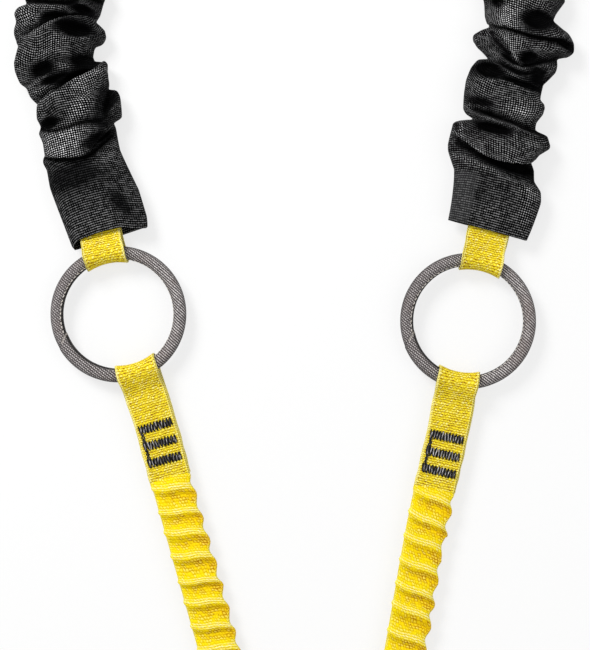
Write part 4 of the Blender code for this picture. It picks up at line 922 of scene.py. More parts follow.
def dotted_weave():
    """Rows of raised dots on a dark ground weave."""

    def wire(board, source):
        column, row, x, y = cells(board, source["Cloth"], source["Dot"], source["Row"], offset=0.0)
        dot = x.hump(1.2).larger(source["Joined"])
        return {"Height": dot * y.hump(1.8) * board.chance(column, row, 9.1).ramp(0.0, 1.0, 0.65, 1.0),
                "Patch": board.noise(source["Cloth"], 240.0)}

    return group("Dotted weave", "Cloth", {"Row": 0.0018, "Dot": 0.00135, "Joined": 0.0}, wire)


def ribbed_weave():
    """Fine ribs crossed by their own threads, as on a narrow woven tube."""

    def wire(board, source):
        u, v = board.split(source["Cloth"])
        along = v / source["Rib"]
        number = along.floor()
        place = u / (source["Rib"] * 0.95) + number * 0.5
        thread = place.fract().hump(0.6)
        return {"Height": along.fract().hump(0.9) * (thread * 0.45 + 0.55),
                "Chance": board.chance(number, place.floor(), 1.3), "Thread": thread}

    return group("Ribbed weave", "Cloth", {"Rib": 0.0016}, wire)


def metal_wear():
    """Fine grain, soft clouds and small scratches of worked steel."""

    def wire(board, source):
        place = source["Place"]
        scratches = board.noise(board.stretched(place, (2600.0, 160.0, 900.0), 0.5), 1.0, 1.0)
        return {"Grain": board.noise(place, source["Grain"], 3.0, 0.6), "Clouds": board.noise(place, 60.0, 4.0, 0.55),
                "Scratch": scratches.ramp(0.66, 0.74)}

    return group("Metal wear", "Place", {"Grain": 2200.0}, wire)


class Finish(Board):
    """The board of a new material, with its shader at hand."""

    def __init__(self, name, roughness=0.6, metallic=0.0, sheen=0.0, specular=0.5):
        self.material = bpy.data.materials.new(name)
        self.material.use_nodes = True
        super().__init__(self.material.node_tree)
        self.shader = self.tree.nodes["Principled BSDF"]
        self.shader.inputs["Roughness"].default_value = roughness
        self.shader.inputs["Metallic"].default_value = metallic
        self.shader.inputs["Sheen Weight"].default_value = sheen
        self.shader.inputs["Specular IOR Level"].default_value = specular

    def done(self, base, height, depth):
        """Wire a colour and a height into the shader; return the material."""
        self.feed(self.shader.inputs["Base Color"], base)
        bump = self.out("ShaderNodeBump", {"Height": height, "Distance": depth, "Strength": 1.0}, "Normal")
        self.feed(self.shader.inputs["Normal"], bump)
        return self.material


def webbing_finish(name, half_width=WEB_HALF, gathered=False):
    """Yellow polyester webbing: raised yarns, some of their tops given a painted highlight, deeper hollows, a paler
    woven edge.
    """
    tones = bpy.context.scene.lanyard_cloth
    board = Finish(name, roughness=0.70, specular=0.05 if gathered else 0.12)
    cloth = board.cloth()
    weave = board.use(webbing_weave(), Cloth=cloth, Row=tones.row_pitch, Yarn=tones.bump_width,
                      Half_width=half_width)
    height, chance = weave["Height"], weave["Chance"]
    if gathered:
        # Drawn together, the yarns lie close: small dark specks between them, most where the cloth dips.
        # The hollow mark lays painted shade below each row of gathers and the crest mark lays pale cord rows,
        # partly real pale yarn and partly painted highlight; the brightest yarn tops take a painted highlight.
        hollow, crest = board.mark("hollow"), board.mark("crest")
        u, v = board.split(cloth)
        row = v / tones.row_pitch + (board.noise(cloth, 300.0) - 0.5) * 0.9
        cord = row.fract().hump(1.2)
        twist = (u / 0.0020 + row * 1.3).fract().hump(0.8)
        pale = crest * cord.ramp(0.35, 0.80) * twist.ramp(0.30, 0.80, 0.0, 0.9) * chance.ramp(0.0, 0.6, 0.45, 1.0)
        speck = height.ramp(0.62, 0.18) * chance.ramp(0.05, 0.75) * hollow.ramp(0.02, 0.60, 0.35, 0.95)
        base = board.coats(
            (0.80, 0.54, 0.001), (height.ramp(0.05, 0.50, 0.45, 1.0), tones.gather_colour),
            (chance.ramp(0.2, 1.0, 0.05, 0.45) * height.ramp(0.3, 0.8), tones.webbing_bright),
            (hollow * 0.55, tones.gather_painted_shade), (speck, (0.46, 0.19, 0.002)), (pale, tones.webbing_pale))
        height = board.mix(crest, height, cord)
    else:
        base = board.coats(
            tones.webbing_deep, (height.ramp(0.02, 0.42), tones.webbing_colour),
            # Painted highlight on the tops of some raised yarns
            (chance.ramp(0.15, 1.0, 0.1, 0.85) * height.ramp(0.40, 0.80), tones.webbing_bright),
            (weave["Gap"], (0.27, 0.11, 0.002)), (weave["Edge"] * 0.22, tones.webbing_pale))
    stain = board.noise(cloth, 130.0, 3.0).ramp(0.50, 0.85, 0.0, 0.12)
    return board.done(board.blend(stain, base, (0.66, 0.42, 0.02)), height, 0.00036)


def elastic_finish(name):
    """Ribbed natural elastic."""
    board = Finish(name, roughness=0.7)
    u, v = board.split(board.cloth())
    height = (u / 0.0011).fract().hump(0.7) * ((v / 0.0008).fract().hump(0.6) * 0.4 + 0.6)
    return board.done(board.blend(height, (0.48, 0.44, 0.33), (0.84, 0.81, 0.70)), height, 0.0003)


def sleeve_finish(name):
    """Black sleeve cloth with rows of lighter raised threads, painted bright where the folds' painted light falls and
    hidden in painted shade in their creases and hollows.
    """
    tones = bpy.context.scene.lanyard_cloth
    board = Finish(name, roughness=0.6, specular=0.012)
    # The shine mark is painted light on the threads, and painted shade where it is low.
    cloth, shine = board.cloth(), board.mark("shine")
    weave = board.use(dotted_weave(), Cloth=cloth, Row=tones.dot_row, Dot=tones.dot_pitch,
                      Joined=shine.ramp(0.25, 0.60, 0.66, 0.0))
    # Painted shade: the threads are hidden in the creases and hollows.
    seen = weave["Height"].ramp(0.40, 0.66) * (1.0 - board.mark("hollow") * 0.93)
    seen = seen * weave["Patch"].ramp(0.3, 0.7, 0.7, 1.0)
    smooth = board.noise(cloth, 900.0).ramp(0.3, 0.7, 0.6, 1.0)
    base = board.coats(tones.sleeve_ground, (seen, board.blend(shine, tones.sleeve_dim, tones.sleeve_dots)),
                       (board.mark("hem") * smooth, (0.040, 0.040, 0.041)))
    return board.done(base, weave["Height"], 0.0003)


def cover_finish(name):
    """Grey-brown tube cloth with fine ribs that fade on the ring's left side, where it is painted lighter as painted
    light; its upright sides, seam groove and the foot of its overlap take painted shade.
    """
    board = Finish(name, roughness=0.72, sheen=0.04, specular=0.25)
    tones = bpy.context.scene.lanyard_cloth
    weave = board.use(ribbed_weave(), Cloth=board.cloth(), Rib=tones.rib_pitch)
    # This mark sets how strong the ribs are and, where it is low, paints the ring's left side lighter as painted
    # light.
    ribbed = board.mark("ribbed").ramp(0.2, 0.9)
    ribs = weave["Height"] * weave["Thread"].ramp(0.25, 0.85, 0.35, 1.0).larger(ribbed)
    base = board.coats(
        (0.008, 0.006, 0.007), (ribs.ramp(0.22, 0.66), tones.cover_colour),
        (weave["Chance"].ramp(0.0, 0.8, 0.55, 1.0) * ribs.ramp(0.50, 0.88), (0.62, 0.585, 0.575)),
        # Painted light: the ring's left side is painted lighter
        (ribbed.ramp(0.0, 1.0, 0.30, 0.0), (0.150, 0.129, 0.131)),
        (board.noise(board.local(), 45.0, 3.0).ramp(0.42, 0.72, 0.0, 0.30), (0.16, 0.110, 0.095)),
        # Painted shade on the bar's upright sides, in the seam's groove and at the foot of the overlap
        (board.mark("side") * 0.85, (0.022, 0.018, 0.019)), (board.mark("seam"), (0.006, 0.005, 0.005)),
        (board.mark("pale") * 0.75, (0.55, 0.50, 0.45)))
    return board.done(base, weave["Height"], 0.00026)


def thread_finish(name, dark, light, glint):
    """Twisted sewing thread, some strands of it shining paler than others."""
    board = Finish(name, roughness=0.60, specular=0.12)
    fibre = board.noise(board.stretched(board.local(), (3600.0, 700.0, 2400.0)), 1.0)
    tone = board.mark("tone")
    base = board.coats(dark, (fibre.ramp(0.32, 0.68, 0.6, 1.0) * tone.ramp(0.0, 0.6), light),
                       (fibre.ramp(0.40, 0.60, 0.5, 1.0) * tone.ramp(0.6, 1.0), glint))
    return board.done(base, fibre, 0.00012)


def fabric_finish(name):
    """Close plain weave of coated nylon, dulled by dust."""
    board = Finish(name, roughness=0.62, sheen=0.06, specular=0.35)
    height = board.use(dotted_weave(), Cloth=board.cloth(), Row=0.0007, Dot=0.0007)["Height"]
    dust = board.noise(board.local(), 60.0, 4.0).ramp(0.5, 0.8, 0.0, 0.4)
    base = board.coats((0.010, 0.010, 0.011), (height, (0.045, 0.045, 0.048)), (dust, (0.060, 0.058, 0.056)))
    return board.done(base, height, 0.00016)


def steel_finish(name, tone, roughness, grain, depth=0.00001):
    """Worked steel: its own grain, clouds in the shine and fine scratches."""
    board = Finish(name, roughness=roughness, metallic=1.0)
    wear = board.use(metal_wear(), Place=board.local(), Grain=grain)
    dull, bright = ([min(1.0, share * c) for c in tone] for share in (0.80, 1.15))
    base = board.coats(dull, (wear["Clouds"].ramp(0.35, 0.7), tone), (wear["Scratch"] * 0.5, bright))
    shine = wear["Clouds"].ramp(0.3, 0.75, roughness + 0.08, roughness - 0.06)
    board.feed(board.shader.inputs["Roughness"], shine)
    return board.done(base, wear["Grain"] - wear["Scratch"] * 0.5, depth)


def plastic_finish(name, tone):
    """Moulded plastic with a fine skin."""
    board = Finish(name, roughness=0.42)
    grain = board.noise(board.local(), 3000.0)
    return board.done(board.blend(grain, [0.8 * c for c in tone], tone), grain, 0.00004)


MATERIALS = {
    "webbing": lambda: webbing_finish("Yellow webbing"),
    "gathers": lambda: webbing_finish("Yellow elasticated webbing", gathered=True),
    "tear": lambda: webbing_finish("Tear webbing", half_width=TEAR_HALF),
    "elastic": lambda: elastic_finish("Elastic"),
    "sleeve": lambda: sleeve_finish("Black sleeve"),
    "cover": lambda: cover_finish("Ring cover"),
    "thread": lambda: thread_finish("Tack thread", (0.003, 0.003, 0.003),
                                    bpy.context.scene.lanyard_cloth.thread_colour, (0.72, 0.70, 0.70)),
    "pale_thread": lambda: thread_finish("Seam thread", (0.36, 0.32, 0.28), (0.80, 0.75, 0.69), (0.92, 0.88, 0.84)),
    "pouch_thread": lambda: thread_finish("Pouch thread", (0.02, 0.02, 0.022), (0.10, 0.10, 0.105), (0.3, 0.3, 0.31)),
    "fabric": lambda: fabric_finish("Pouch fabric"),
    "zip": lambda: plastic_finish("Zip plastic", (0.02, 0.02, 0.022)),
    "forged": lambda: steel_finish("Forged steel", (0.44, 0.44, 0.435), 0.36, 1500.0, depth=0.00003),
    "pressed": lambda: steel_finish("Pressed steel", (0.55, 0.55, 0.545), 0.28, 3200.0),
    "polished": lambda: steel_finish("Polished steel", (0.52, 0.52, 0.52), 0.20, 2600.0),
    "spring": lambda: steel_finish("Spring steel", (0.48, 0.47, 0.45), 0.30, 2600.0),
}
MADE = {}


def material(key):
    """Each finish, made the first time that it is asked for."""
    if key not in MADE:
        MADE[key] = MATERIALS[key]()
    return MADE[key]


# Webbing loops

def loop_hollow(across, bar_radius, ring_radius):
    """Inner radius of a loop, flared so that a curved bar can turn in it."""
    if ring_radius is None:
        return np.full_like(across, bar_radius + SEAT_GAP)
    sag = ring_radius - np.sqrt(ring_radius**2 - across**2)
    return sag + bar_radius / np.sqrt(1 - (across / ring_radius) ** 2) + SEAT_GAP


def loop_rows(tail, bends=28):
    """Rows of a loop, from the end of its upper layer round the bar to the end of its lower layer: side,
    length along the strap, and angle round the bar."""
    lengths = np.concatenate([np.linspace(tail, LOOP_THROAT, 34, endpoint=False),
                              np.linspace(LOOP_THROAT, 0.0, 16, endpoint=False)])
    angles = np.linspace(math.pi / 2, 3 * math.pi / 2, bends + 1)
    side = np.concatenate([np.ones(len(lengths)), np.zeros(len(angles)), -np.ones(len(lengths))])
    length = np.concatenate([lengths, np.zeros(len(angles)), lengths[::-1]])
    angle = np.concatenate([np.zeros(len(lengths)), angles, np.zeros(len(lengths))])
    return side, length, angle


def loop_points(side, length, angle, hollow, thick, out):
    """Length along and height over the axis, for points a way out from the loop's middle surface."""
    radius = hollow + thick / 2
    flat = (thick + GAP) / 2
    closing = 0.5 + 0.5 * np.cos(np.pi * np.minimum(length / LOOP_THROAT, 1.0))
    layer = side * (flat + (radius - flat) * closing + out)
    bend = side == 0
    along = np.where(bend, (radius + out) * np.cos(angle), length)
    above = np.where(bend, (radius + out) * np.sin(angle), layer)
    return along, above


def webbing_loop(name, node, strap, bar_radius, ring_radius, body, back_shift):
    """Webbing led round a bar and sewn back on itself, its lower layer a touch off to one side."""
    side, length, angle = loop_rows(LOOP_TAIL)
    across, out, way = band_section(WEB_HALF, WEB_THICK / 2)
    middle = loop_points(side, length, angle, np.full_like(length, bar_radius + SEAT_GAP), WEB_THICK, 0.0)
    run = run_of(np.stack(middle, -1))
    rows, columns = len(side) - 1, len(across) - 1

    def place(share_across, share_along):
        c, r = nearest(share_across, columns), nearest(share_along, rows)
        a = across[c]
        wobble = 0.00018 * np.sin(run[r] / 0.0031 + 2.0 * np.sin(run[r] / 0.011))
        wobble *= np.clip(np.abs(a) / WEB_HALF, 0, 1) ** 6
        hollow = loop_hollow(np.clip(a, -WEB_HALF, WEB_HALF), bar_radius, ring_radius)
        along, above = loop_points(side[r], length[r], angle[r], hollow, WEB_THICK, out[c])
        round_bar = np.where(side[r] < 0, 1.0, np.where(side[r] == 0, (angle[r] - math.pi / 2) / math.pi, 0.0))
        spots = strap.place(along, a + np.sign(a) * wobble + back_shift * round_bar, above)
        under = np.where(out[c] < -WEB_THICK * 0.3, -1.0, 1.0)
        u = np.where(np.abs(a) > WEB_HALF - WEB_THICK / 2, way_side(way[c], WEB_HALF, WEB_THICK), a * under)
        return spots, np.stack([u, run[r]], -1), {}

    loop = skin(name, columns, rows, place, "webbing", body, wraps=True, caps=True)
    stands_for(loop, node, "yellow_webbing")


def way_side(way, half_width, thick):
    """Cloth coordinate over the rounded edges of a band, running on from its upper face."""
    reach = half_width - thick / 2
    edge = math.pi * thick / 2
    over = 2 * reach + edge
    return np.where(way <= reach + edge, way, way - over)


# Bar tacks

def bar_tack(name, node, strap, spine_side, body, seed, distance=TACK_DISTANCE, pitch=TACK_PITCH,
             bars=(-1, 0, 1), half=0.0098, thick=WEB_THICK, reach=0.0060):
    """Bars of close zigzag thread, their points standing past the bar at both edges, and a zigzag that joins
    them on one side."""
    chance = np.random.default_rng(seed)
    top = thick + 1.5 * GAP
    places, tones = [], []

    def stitch(x, y, slant, length, width, lift, tone):
        """One stitch in the tack's own flat frame: x to the right of the strap, y along it."""
        spot, way = (found[0] for found in strap.route.at(np.array([distance + y])))
        right = np.array((way[1], -way[0]))
        height = float(strap.height(distance + y)) + top + lift
        places.append(laid((*(spot + right * x), height), (*(way + right * slant), 0.0), (0, 0, 1),
                           length, width, 0.0009))
        tones.append(tone)

    count = 2 * round(half / 0.00094) + 1
    for bar in bars:
        for k in range(count):
            x = -half + 2 * half * k / (count - 1)
            push = 0.00026 * (1 if k % 2 else -1)
            stitch(x + chance.normal(0, 0.00007), bar * pitch + push, 0.10 * (1 if k % 2 else -1),
                   reach + chance.normal(0, 0.0002), 0.00118 + chance.normal(0, 0.00006),
                   lift=chance.normal(0, 0.00010), tone=chance.uniform(0.0, 0.2))
        strands = round(2 * half / 0.0016)
        for k in range(strands):
            x = -half + 2 * half * (k + 0.5) / strands + chance.normal(0, 0.0001)
            stitch(x, bar * pitch + chance.normal(0, 0.0003), chance.choice((-0.14, 0.04, 0.12)),
                   reach * 0.80 + chance.normal(0, 0.0004), 0.00068, lift=0.00024 + chance.normal(0, 0.00006),
                   tone=chance.uniform(0.45, 1.0))
    for gap in np.arange(bars[0] + 0.5, bars[-1]) if spine_side else ():
        for k in range(6):
            y = gap * pitch + (k - 2.5) * 0.00105
            for column in (-1, 1):
                x = spine_side * (half - 0.0008 + column * 0.00042)
                stitch(x + chance.normal(0.0, 0.00008), y + column * 0.00026, 0.75 * (1 if k % 2 else -1), 0.0021,
                       0.00085, lift=chance.normal(0, 0.00008), tone=chance.uniform(0.0, 0.45))
    stands_for(grains(name, places, "thread", body, tones=np.array(tones)), node, "tack_thread")


# Sewn ends of the arms: piece and node of the loop, node of its tack, the bar and ring it goes round, its body,
# how far its lower layer is off, the side of the tack's joining zigzag and the seed of its stitches
SEWN_ENDS = {
    "lower": ("lower_loop", "lower_ring_loop", "lower_ring_tack", RING_BAR, RING_RADIUS, "arm_end", -0.0006, 1, 40),
    "yoke": ("yoke_loop_webbing", "yoke_loop", "yoke_tack", LINK_BAR, None, "arm", 0.0004, -1, 50),
    "upper": ("upper_loop", "upper_ring_loop", "upper_ring_tack", RING_BAR, RING_RADIUS, "upper_arm", 0.0006, -1, 60),
    "hook": ("hook_loop_webbing", "hook_loop", "hook_tack", PIN_RADIUS, None, "upper_end", 0.0003, 1, 70),
}


def sewn_end(prefix, end, strap):
    """One end of an arm's webbing: its loop round a bar and the bar tack that closes it."""
    loop, node, tack, bar, ring, body, back_shift, spine_side, seed = SEWN_ENDS[end]
    body = f"{prefix}_{body}"
    webbing_loop(f"{prefix}_{loop}", f"{prefix}_{node}", strap, bar, ring, body, back_shift)
    bar_tack(f"{prefix}_{end}_tack_stitches", f"{prefix}_{tack}", strap, spine_side, body,
             seed + SIDES.index(prefix))


# Lower arms

def gathered_webbing(prefix, strap, folds):
    """Elasticated tubular webbing between the two sewn loops, gathered into leaning waves."""
    start = LOOP_TAIL + GAP
    length = strap.length - 2 * start
    tuck = 0.0025        # length hidden between the layers of each loop
    waves = round(length / GATHER_PITCH)
    pitch = length / waves
    lag = GATHER_PHASE[prefix]
    columns, rows = 60, waves * 20
    chance = np.random.default_rng(5 if prefix == "left" else 6)
    swell = chance.normal(1.0, 0.12, waves + 3)
    lean = chance.normal(0.0, 0.30, waves + 3)
    late = chance.normal(0.0, 0.05, waves + 3)

    turns = np.linspace(0, math.pi, 181)
    girth = run_of(np.stack([np.sign(np.cos(turns)) * np.abs(np.cos(turns)) ** 0.60 * 0.0122,
                             np.sin(turns) ** 0.50 * 0.0031], -1))

    def wave(p):
        """A leaning wave over 0 to 1: a long slow rise to the crest, then a short fall."""
        return np.where(p < 0.70, smooth_step(p / 0.70), 1 - smooth_step((p - 0.70) / 0.30))

    def place(share_across, share_along):
        angle = math.tau * share_across
        c, s = np.cos(angle), np.sin(angle)
        distance = start - tuck + (length + 2 * tuck) * share_along
        run = distance - start
        # The strap runs from the ring downwards, so its right is the left of the photograph
        phase = run / pitch + 0.20 * c + lag
        index = np.clip(np.floor(phase), 0, waves + 2).astype(int)
        nearer = np.mod(phase, 1.0)
        phase = phase + (late[index] + 0.12 * lean[index] * c) * np.sin(np.pi * nearer) ** 2
        size = swell[index]
        rows_along = (phase - lag) * GATHER_ROWS
        fade = smooth_step(run / 0.006) * smooth_step((length - run) / 0.006)
        # Lobes stand out on the photograph's right below each pale row, and small corners on its left at it
        nearer = np.mod(phase, 1.0)
        lobe = 0.5 + 0.5 * np.cos(math.tau * (nearer - 0.93))
        corner = smooth_step(1 - np.abs(nearer - 0.62) / 0.16)
        width = np.where(c > 0, 0.0118 + 0.0008 * corner, 0.0112 + 0.0021 * lobe * size)
        width = WEB_HALF * (1 - fade) + width * fade
        across = np.sign(c) * np.abs(c) ** 0.60 * width
        bulk = np.abs(s) ** 0.50
        rise = folds.wave_height * size * (wave(nearer) - 0.30) * fade
        pinch = smooth_step((run + tuck) / (tuck + 0.003)) * smooth_step((length - run + tuck) / (tuck + 0.003))
        thick = 0.0012 * (1 - pinch) + 0.0031 * pinch
        rib = 0.00006 * np.cos(math.tau * (rows_along - 0.5)) * smooth_step((nearer - 0.40) / 0.2) * fade
        above = np.where(s > 0, bulk * (thick + rise + rib), -bulk * (thick - rise * 0.45))
        spots = strap.place(distance, across, above)
        # Crest: pale cord rows on each wave's crest, partly real pale yarn and partly painted highlight, stronger on
        # the strap's left
        crest = smooth_step((nearer - 0.40) / 0.10) * (1 - smooth_step((nearer - 0.655) / 0.03))
        crest *= 0.75 - 0.25 * c
        # Hollow: painted shade from each crest's fall through the trough, heavier on the strap's left
        hollow = np.where(nearer > 0.70, smooth_step((nearer - 0.70) / 0.07), smooth_step(1 - nearer / 0.42))
        hollow = hollow * np.clip(0.55 - 0.60 * c, 0.10, 1.0)
        round_it = girth[-1] / 2 - np.interp(np.mod(angle, math.pi + 1e-9), turns, girth)
        cloth = np.stack([round_it, rows_along * folds.id_data.lanyard_cloth.row_pitch], -1)
        return spots, cloth, {"crest": crest * fade, "hollow": hollow * fade}

    thing = skin(f"{prefix}_gathered_webbing", columns, rows, place, "gathers", wraps=True, caps=True)
    stands_for(thing, f"{prefix}_lower_gathers", "yellow_webbing")
    far, near = strap.spot(start), strap.spot(start + length)
    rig.blend(thing, f"{prefix}_arm", f"{prefix}_arm_end", start=near, end=far)
    path = [tuple(strap.spot(start + length * (1 - k / 24))) for k in range(25)]
    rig.cord(thing, exit=path[0], length=length, diameter=0.025, far_end="object", stiffness="limp", lay="loose",
            path=path)


def flat_run(name, node, strap, half_width, half_thick, finish, slot, near_body, far_body):
    """A plain band between a strap's two loops, stretched between the bodies at its two ends."""
    first, last = LOOP_TAIL + GAP, strap.length - LOOP_TAIL - GAP
    across, out, _ = band_section(half_width, half_thick, straight=10, edge=4)
    columns, rows = len(across) - 1, 80

    def place(share_across, share_along):
        c = nearest(share_across, columns)
        distance = first + (last - first) * share_along
        spots = strap.place(distance, across[c], out[c])
        return spots, np.stack([across[c], distance], -1), {}

    thing = skin(name, columns, rows, place, finish, wraps=True, caps=True)
    stands_for(thing, node, slot)
    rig.blend(thing, near_body, far_body, start=strap.spot(first), end=strap.spot(last))


# Rings

def seam_angle(turn):
    """Where the cover's seam lies round the bar: on the inner side, climbing into sight on the left."""
    top = math.radians(200)
    lift = math.radians(32) * (0.5 + 0.5 * np.cos(turn - top)) ** 1.3
    return math.pi - lift


OVERLAP = {"left": (math.radians(205), 0.10), "right": (math.radians(196), 0.10)}
RIB_SLOPE = math.radians(40)


def ring_cover(prefix):
    """Woven tube sewn round the ring: a seam with small stitches inside, and a slanting overlap."""
    low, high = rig.box(f"{prefix}_ring_steel")
    centre = (low + high) / 2
    columns, rows = 40, 300
    overlap, slant = OVERLAP[prefix]

    def place(share_across, share_along):
        angle = math.tau * share_across
        turn = math.tau * share_along
        seam = seam_angle(turn)
        off = np.arctan2(np.sin(angle - seam), np.cos(angle - seam)) * RING_BAR
        groove = np.exp(-((off / 0.00095) ** 2))
        lips = np.exp(-(((np.abs(off) - 0.0014) / 0.0006) ** 2))
        past = turn - overlap - slant * np.cos(angle)
        past = np.arctan2(np.sin(past), np.cos(past)) * RING_RADIUS
        step = smooth_step(past / 0.0006) * (1 - smooth_step((past - 0.030) / 0.030))
        radius = RING_BAR - 0.00045 * groove + 0.00016 * lips + 0.00030 * step - 0.0001
        # Painted shadow along the foot of the overlap's step
        line = np.exp(-((past / 0.00045) ** 2)) * (past < 0.0003)
        pale = np.exp(-(((past - 0.0009) / 0.0005) ** 2)) * (np.sin(angle) > -0.2) * (np.cos(angle) < 0.25)
        reach = RING_RADIUS + radius * np.cos(angle)
        spots = np.stack([centre.x + reach * np.cos(turn), centre.y + reach * np.sin(turn),
                          centre.z + radius * np.sin(angle)], -1)
        # The cover is cut flat: its weave keeps one direction all the way round, folded over at both edges
        flat = RING_RADIUS + RING_BAR * np.where(angle < math.pi, math.pi / 2 - angle, angle - 1.5 * math.pi)
        flat_x, flat_y = flat * np.cos(turn), flat * np.sin(turn)
        c, s = math.cos(RIB_SLOPE), math.sin(RIB_SLOPE)
        cloth = np.stack([flat_x * c - flat_y * s, flat_x * s + flat_y * c + step * 0.0006], -1)
        # Ribs are weaker on the ring's left side, which this same mark also paints lighter as painted light
        ribbed = 0.35 + 0.65 * (0.5 + 0.5 * np.cos(turn - math.radians(-10))) ** 1.2
        # seam: painted shade in the seam's groove and under the overlap's step; side: painted shade on the bar's
        # upright sides
        marks = {"seam": np.clip(groove * 1.3 + line, 0, 1), "pale": pale, "ribbed": ribbed,
                 "side": np.abs(np.cos(angle)) ** 4}
        return spots, cloth, marks

    cover = skin(f"{prefix}_ring_cover_cloth", columns, rows, place, "cover", f"{prefix}_ring", wraps=True)
    stands_for(cover, f"{prefix}_ring_cover", "ring_cover_weave")

    chance = np.random.default_rng(11 if prefix == "left" else 12)
    places, count = [], 80
    for k in range(count):
        turn = math.tau * (k + chance.normal(0, 0.08)) / count
        seam = float(seam_angle(turn)) - 0.36
        away = Vector((math.cos(turn), math.sin(turn), 0.0))
        up = away * math.cos(seam) + Vector((0.0, 0.0, math.sin(seam)))
        spot = centre + away * RING_RADIUS + up * (RING_BAR + 0.00002)
        places.append(laid(spot, (-away.y, away.x, 0.0), up, 0.0021, 0.00066, 0.0003,
                           skew=0.25 + chance.normal(0, 0.1)))
    stitches = grains(f"{prefix}_ring_seam_stitches", places, "pale_thread", f"{prefix}_ring", sides=6, rings=5)
    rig.slot(stitches, "tack_thread")


# Sleeves

def eased(x, knots, spread):
    """A line through knots with its corners rounded."""
    knots = np.array(knots, float)
    fine = np.arange(knots[0, 0] - 4 * spread, knots[-1, 0] + 4 * spread, spread / 5)
    values = np.interp(fine, knots[:, 0], knots[:, 1])
    bell = np.exp(-0.5 * (np.arange(-15, 16) / 5) ** 2)
    values = np.convolve(np.pad(values, 15, mode="edge"), bell / bell.sum(), mode="valid")
    return np.interp(x, fine, values)


def fold_shape(along, across, folds, lean):
    """What the folds give each point, in millimetres and shares: height, how far crests lean along, how much
    painted shade hides its threads, and the painted light on its threads, painted shade where it falls below zero."""
    height, shift, painted_shade, shine = (np.zeros_like(along) for _ in range(4))

    def past(line):
        """How far points lie past a line, and whether they lie beside it."""
        line = sorted((x, a) for a, x in line)
        beside = smooth_step((across - line[0][0] + 3.0) / 4.0) * smooth_step((line[-1][0] + 3.0 - across) / 4.0)
        return along - eased(across, line, 1.2), beside

    def off(middle, long, wide, slope):
        """How far points lie from the middle of a slanting oval, squared, its rim at 1."""
        right, up = across - middle[1], along - middle[0]
        c, s = math.cos(math.radians(slope)), math.sin(math.radians(slope))
        return ((right * c + up * s) / long) ** 2 + ((up * c - right * s) / wide) ** 2

    for size, ringward, hookward, line in folds["ridge"]:
        away, beside = past(line)
        t = np.clip(np.where(away < 0, -away / ringward, away / hookward), 0, 1)
        shape = size * (0.5 + 0.5 * np.cos(np.pi * t)) * beside
        height += shape
        shift += np.clip((ringward - hookward) / 8.0, -1.0, 1.0) * lean * shape
        # Painted highlight along the ridge's crest
        shine += 0.030 * size * np.exp(-((away / 1.3) ** 2)) * beside
    for size, wide, line in folds["crease"]:
        away, beside = past(line)
        height -= size * np.exp(-1.5 * np.abs(away) / wide) * beside
        # Painted shade in and beside the crease
        painted_shade = np.maximum(painted_shade, np.exp(-((away / (1.3 * wide)) ** 2)) * beside)
        shine -= 0.12 * np.exp(-((away / (3.0 * wide)) ** 2)) * beside
    for size, *oval in folds["hollow"]:
        share = off(*oval)
        height -= size * np.clip(1 - share, 0, 1) ** 0.8
        # Painted shade in and round the hollow
        painted_shade = np.maximum(painted_shade, smooth_step(1.25 - 0.55 * share))
        shine -= 0.22 * np.exp(-share / 2.2)
    for size, *oval in folds["light"]:
        # Painted light patches; below zero, painted shade
        shine += size * np.exp(-off(*oval))
    return height, shift, painted_shade, shine


def unseen_folds(side, first, last, seed):
    """Folds for the stretch that the photograph doesn't show, of the same kinds."""
    chance = np.random.default_rng(seed)
    folds = {kind: [] for kind in ("ridge", "crease", "hollow", "light")}
    along = first
    while along < last:
        slope = chance.uniform(-0.30, 0.05) * side
        bow = chance.uniform(-3.0, 3.0)
        line = [(along + slope * a + bow * (a / 22.0) ** 2 + chance.normal(0, 0.8), a)
                for a in (-27, -16, -6, 4, 14, 27)]
        if chance.random() < 0.5:
            line = line[:4] if chance.random() < 0.5 else line[2:]
        ringward, hookward, foot = (3.6, 11.0, -3.7) if chance.random() < 0.6 else (11.0, 3.6, 3.7)
        folds["ridge"].append((chance.uniform(2.8, 4.2), ringward, hookward, line))
        folds["crease"].append((chance.uniform(2.0, 3.0), 1.4, [(p + foot, a) for p, a in line]))
        if chance.random() < 0.6:
            folds["hollow"].append((chance.uniform(2.6, 4.2), (along + 7.0, chance.uniform(-16, 16)),
                                    chance.uniform(5, 9), chance.uniform(2.6, 4.0), chance.uniform(-15, 15)))
        # A patch of painted light on the threads
        folds["light"].append((chance.uniform(0.3, 0.8), (along + chance.uniform(1, 5), chance.uniform(-16, 16)),
                               chance.uniform(6, 11), chance.uniform(2.5, 5.0), chance.uniform(-20, 20)))
        along += chance.uniform(13.0, 19.0)
    return folds


def edge_reach(side, which, along, length):
    """How far the sleeve stands out from its middle line on one edge, in millimetres."""
    spots = [tuple(p) for p in SLEEVE_EDGES[side][which]]
    chance = np.random.default_rng(SIDES.index(side) * 2 + SIDES.index(which) + 21)
    spot = spots[-1][0]
    while spot < length - 36:
        spot += chance.uniform(6.0, 9.0)
        spots.append((spot, chance.uniform(25.5, 28.5)))
        spot += chance.uniform(5.0, 8.0)
        spots.append((spot, chance.uniform(20.0, 22.5)))
    spots += [(length - 12, 19.0), (length, 18.0)]
    return eased(along, spots, 0.6)


def flat_hem(prefix, along, across):
    """The right cuff's stretch left of its upright hem, where a second layer hides the weave."""
    if prefix == "left":
        return np.zeros_like(along)
    lies = smooth_step((-13.2 - across) / 0.8) * smooth_step((36.0 - along) / 4.0)
    line = np.exp(-(((across + 13.6) / 0.7) ** 2)) * smooth_step((35.0 - along) / 3.0)
    return np.clip(0.60 * lies + 0.40 * line, 0, 1)


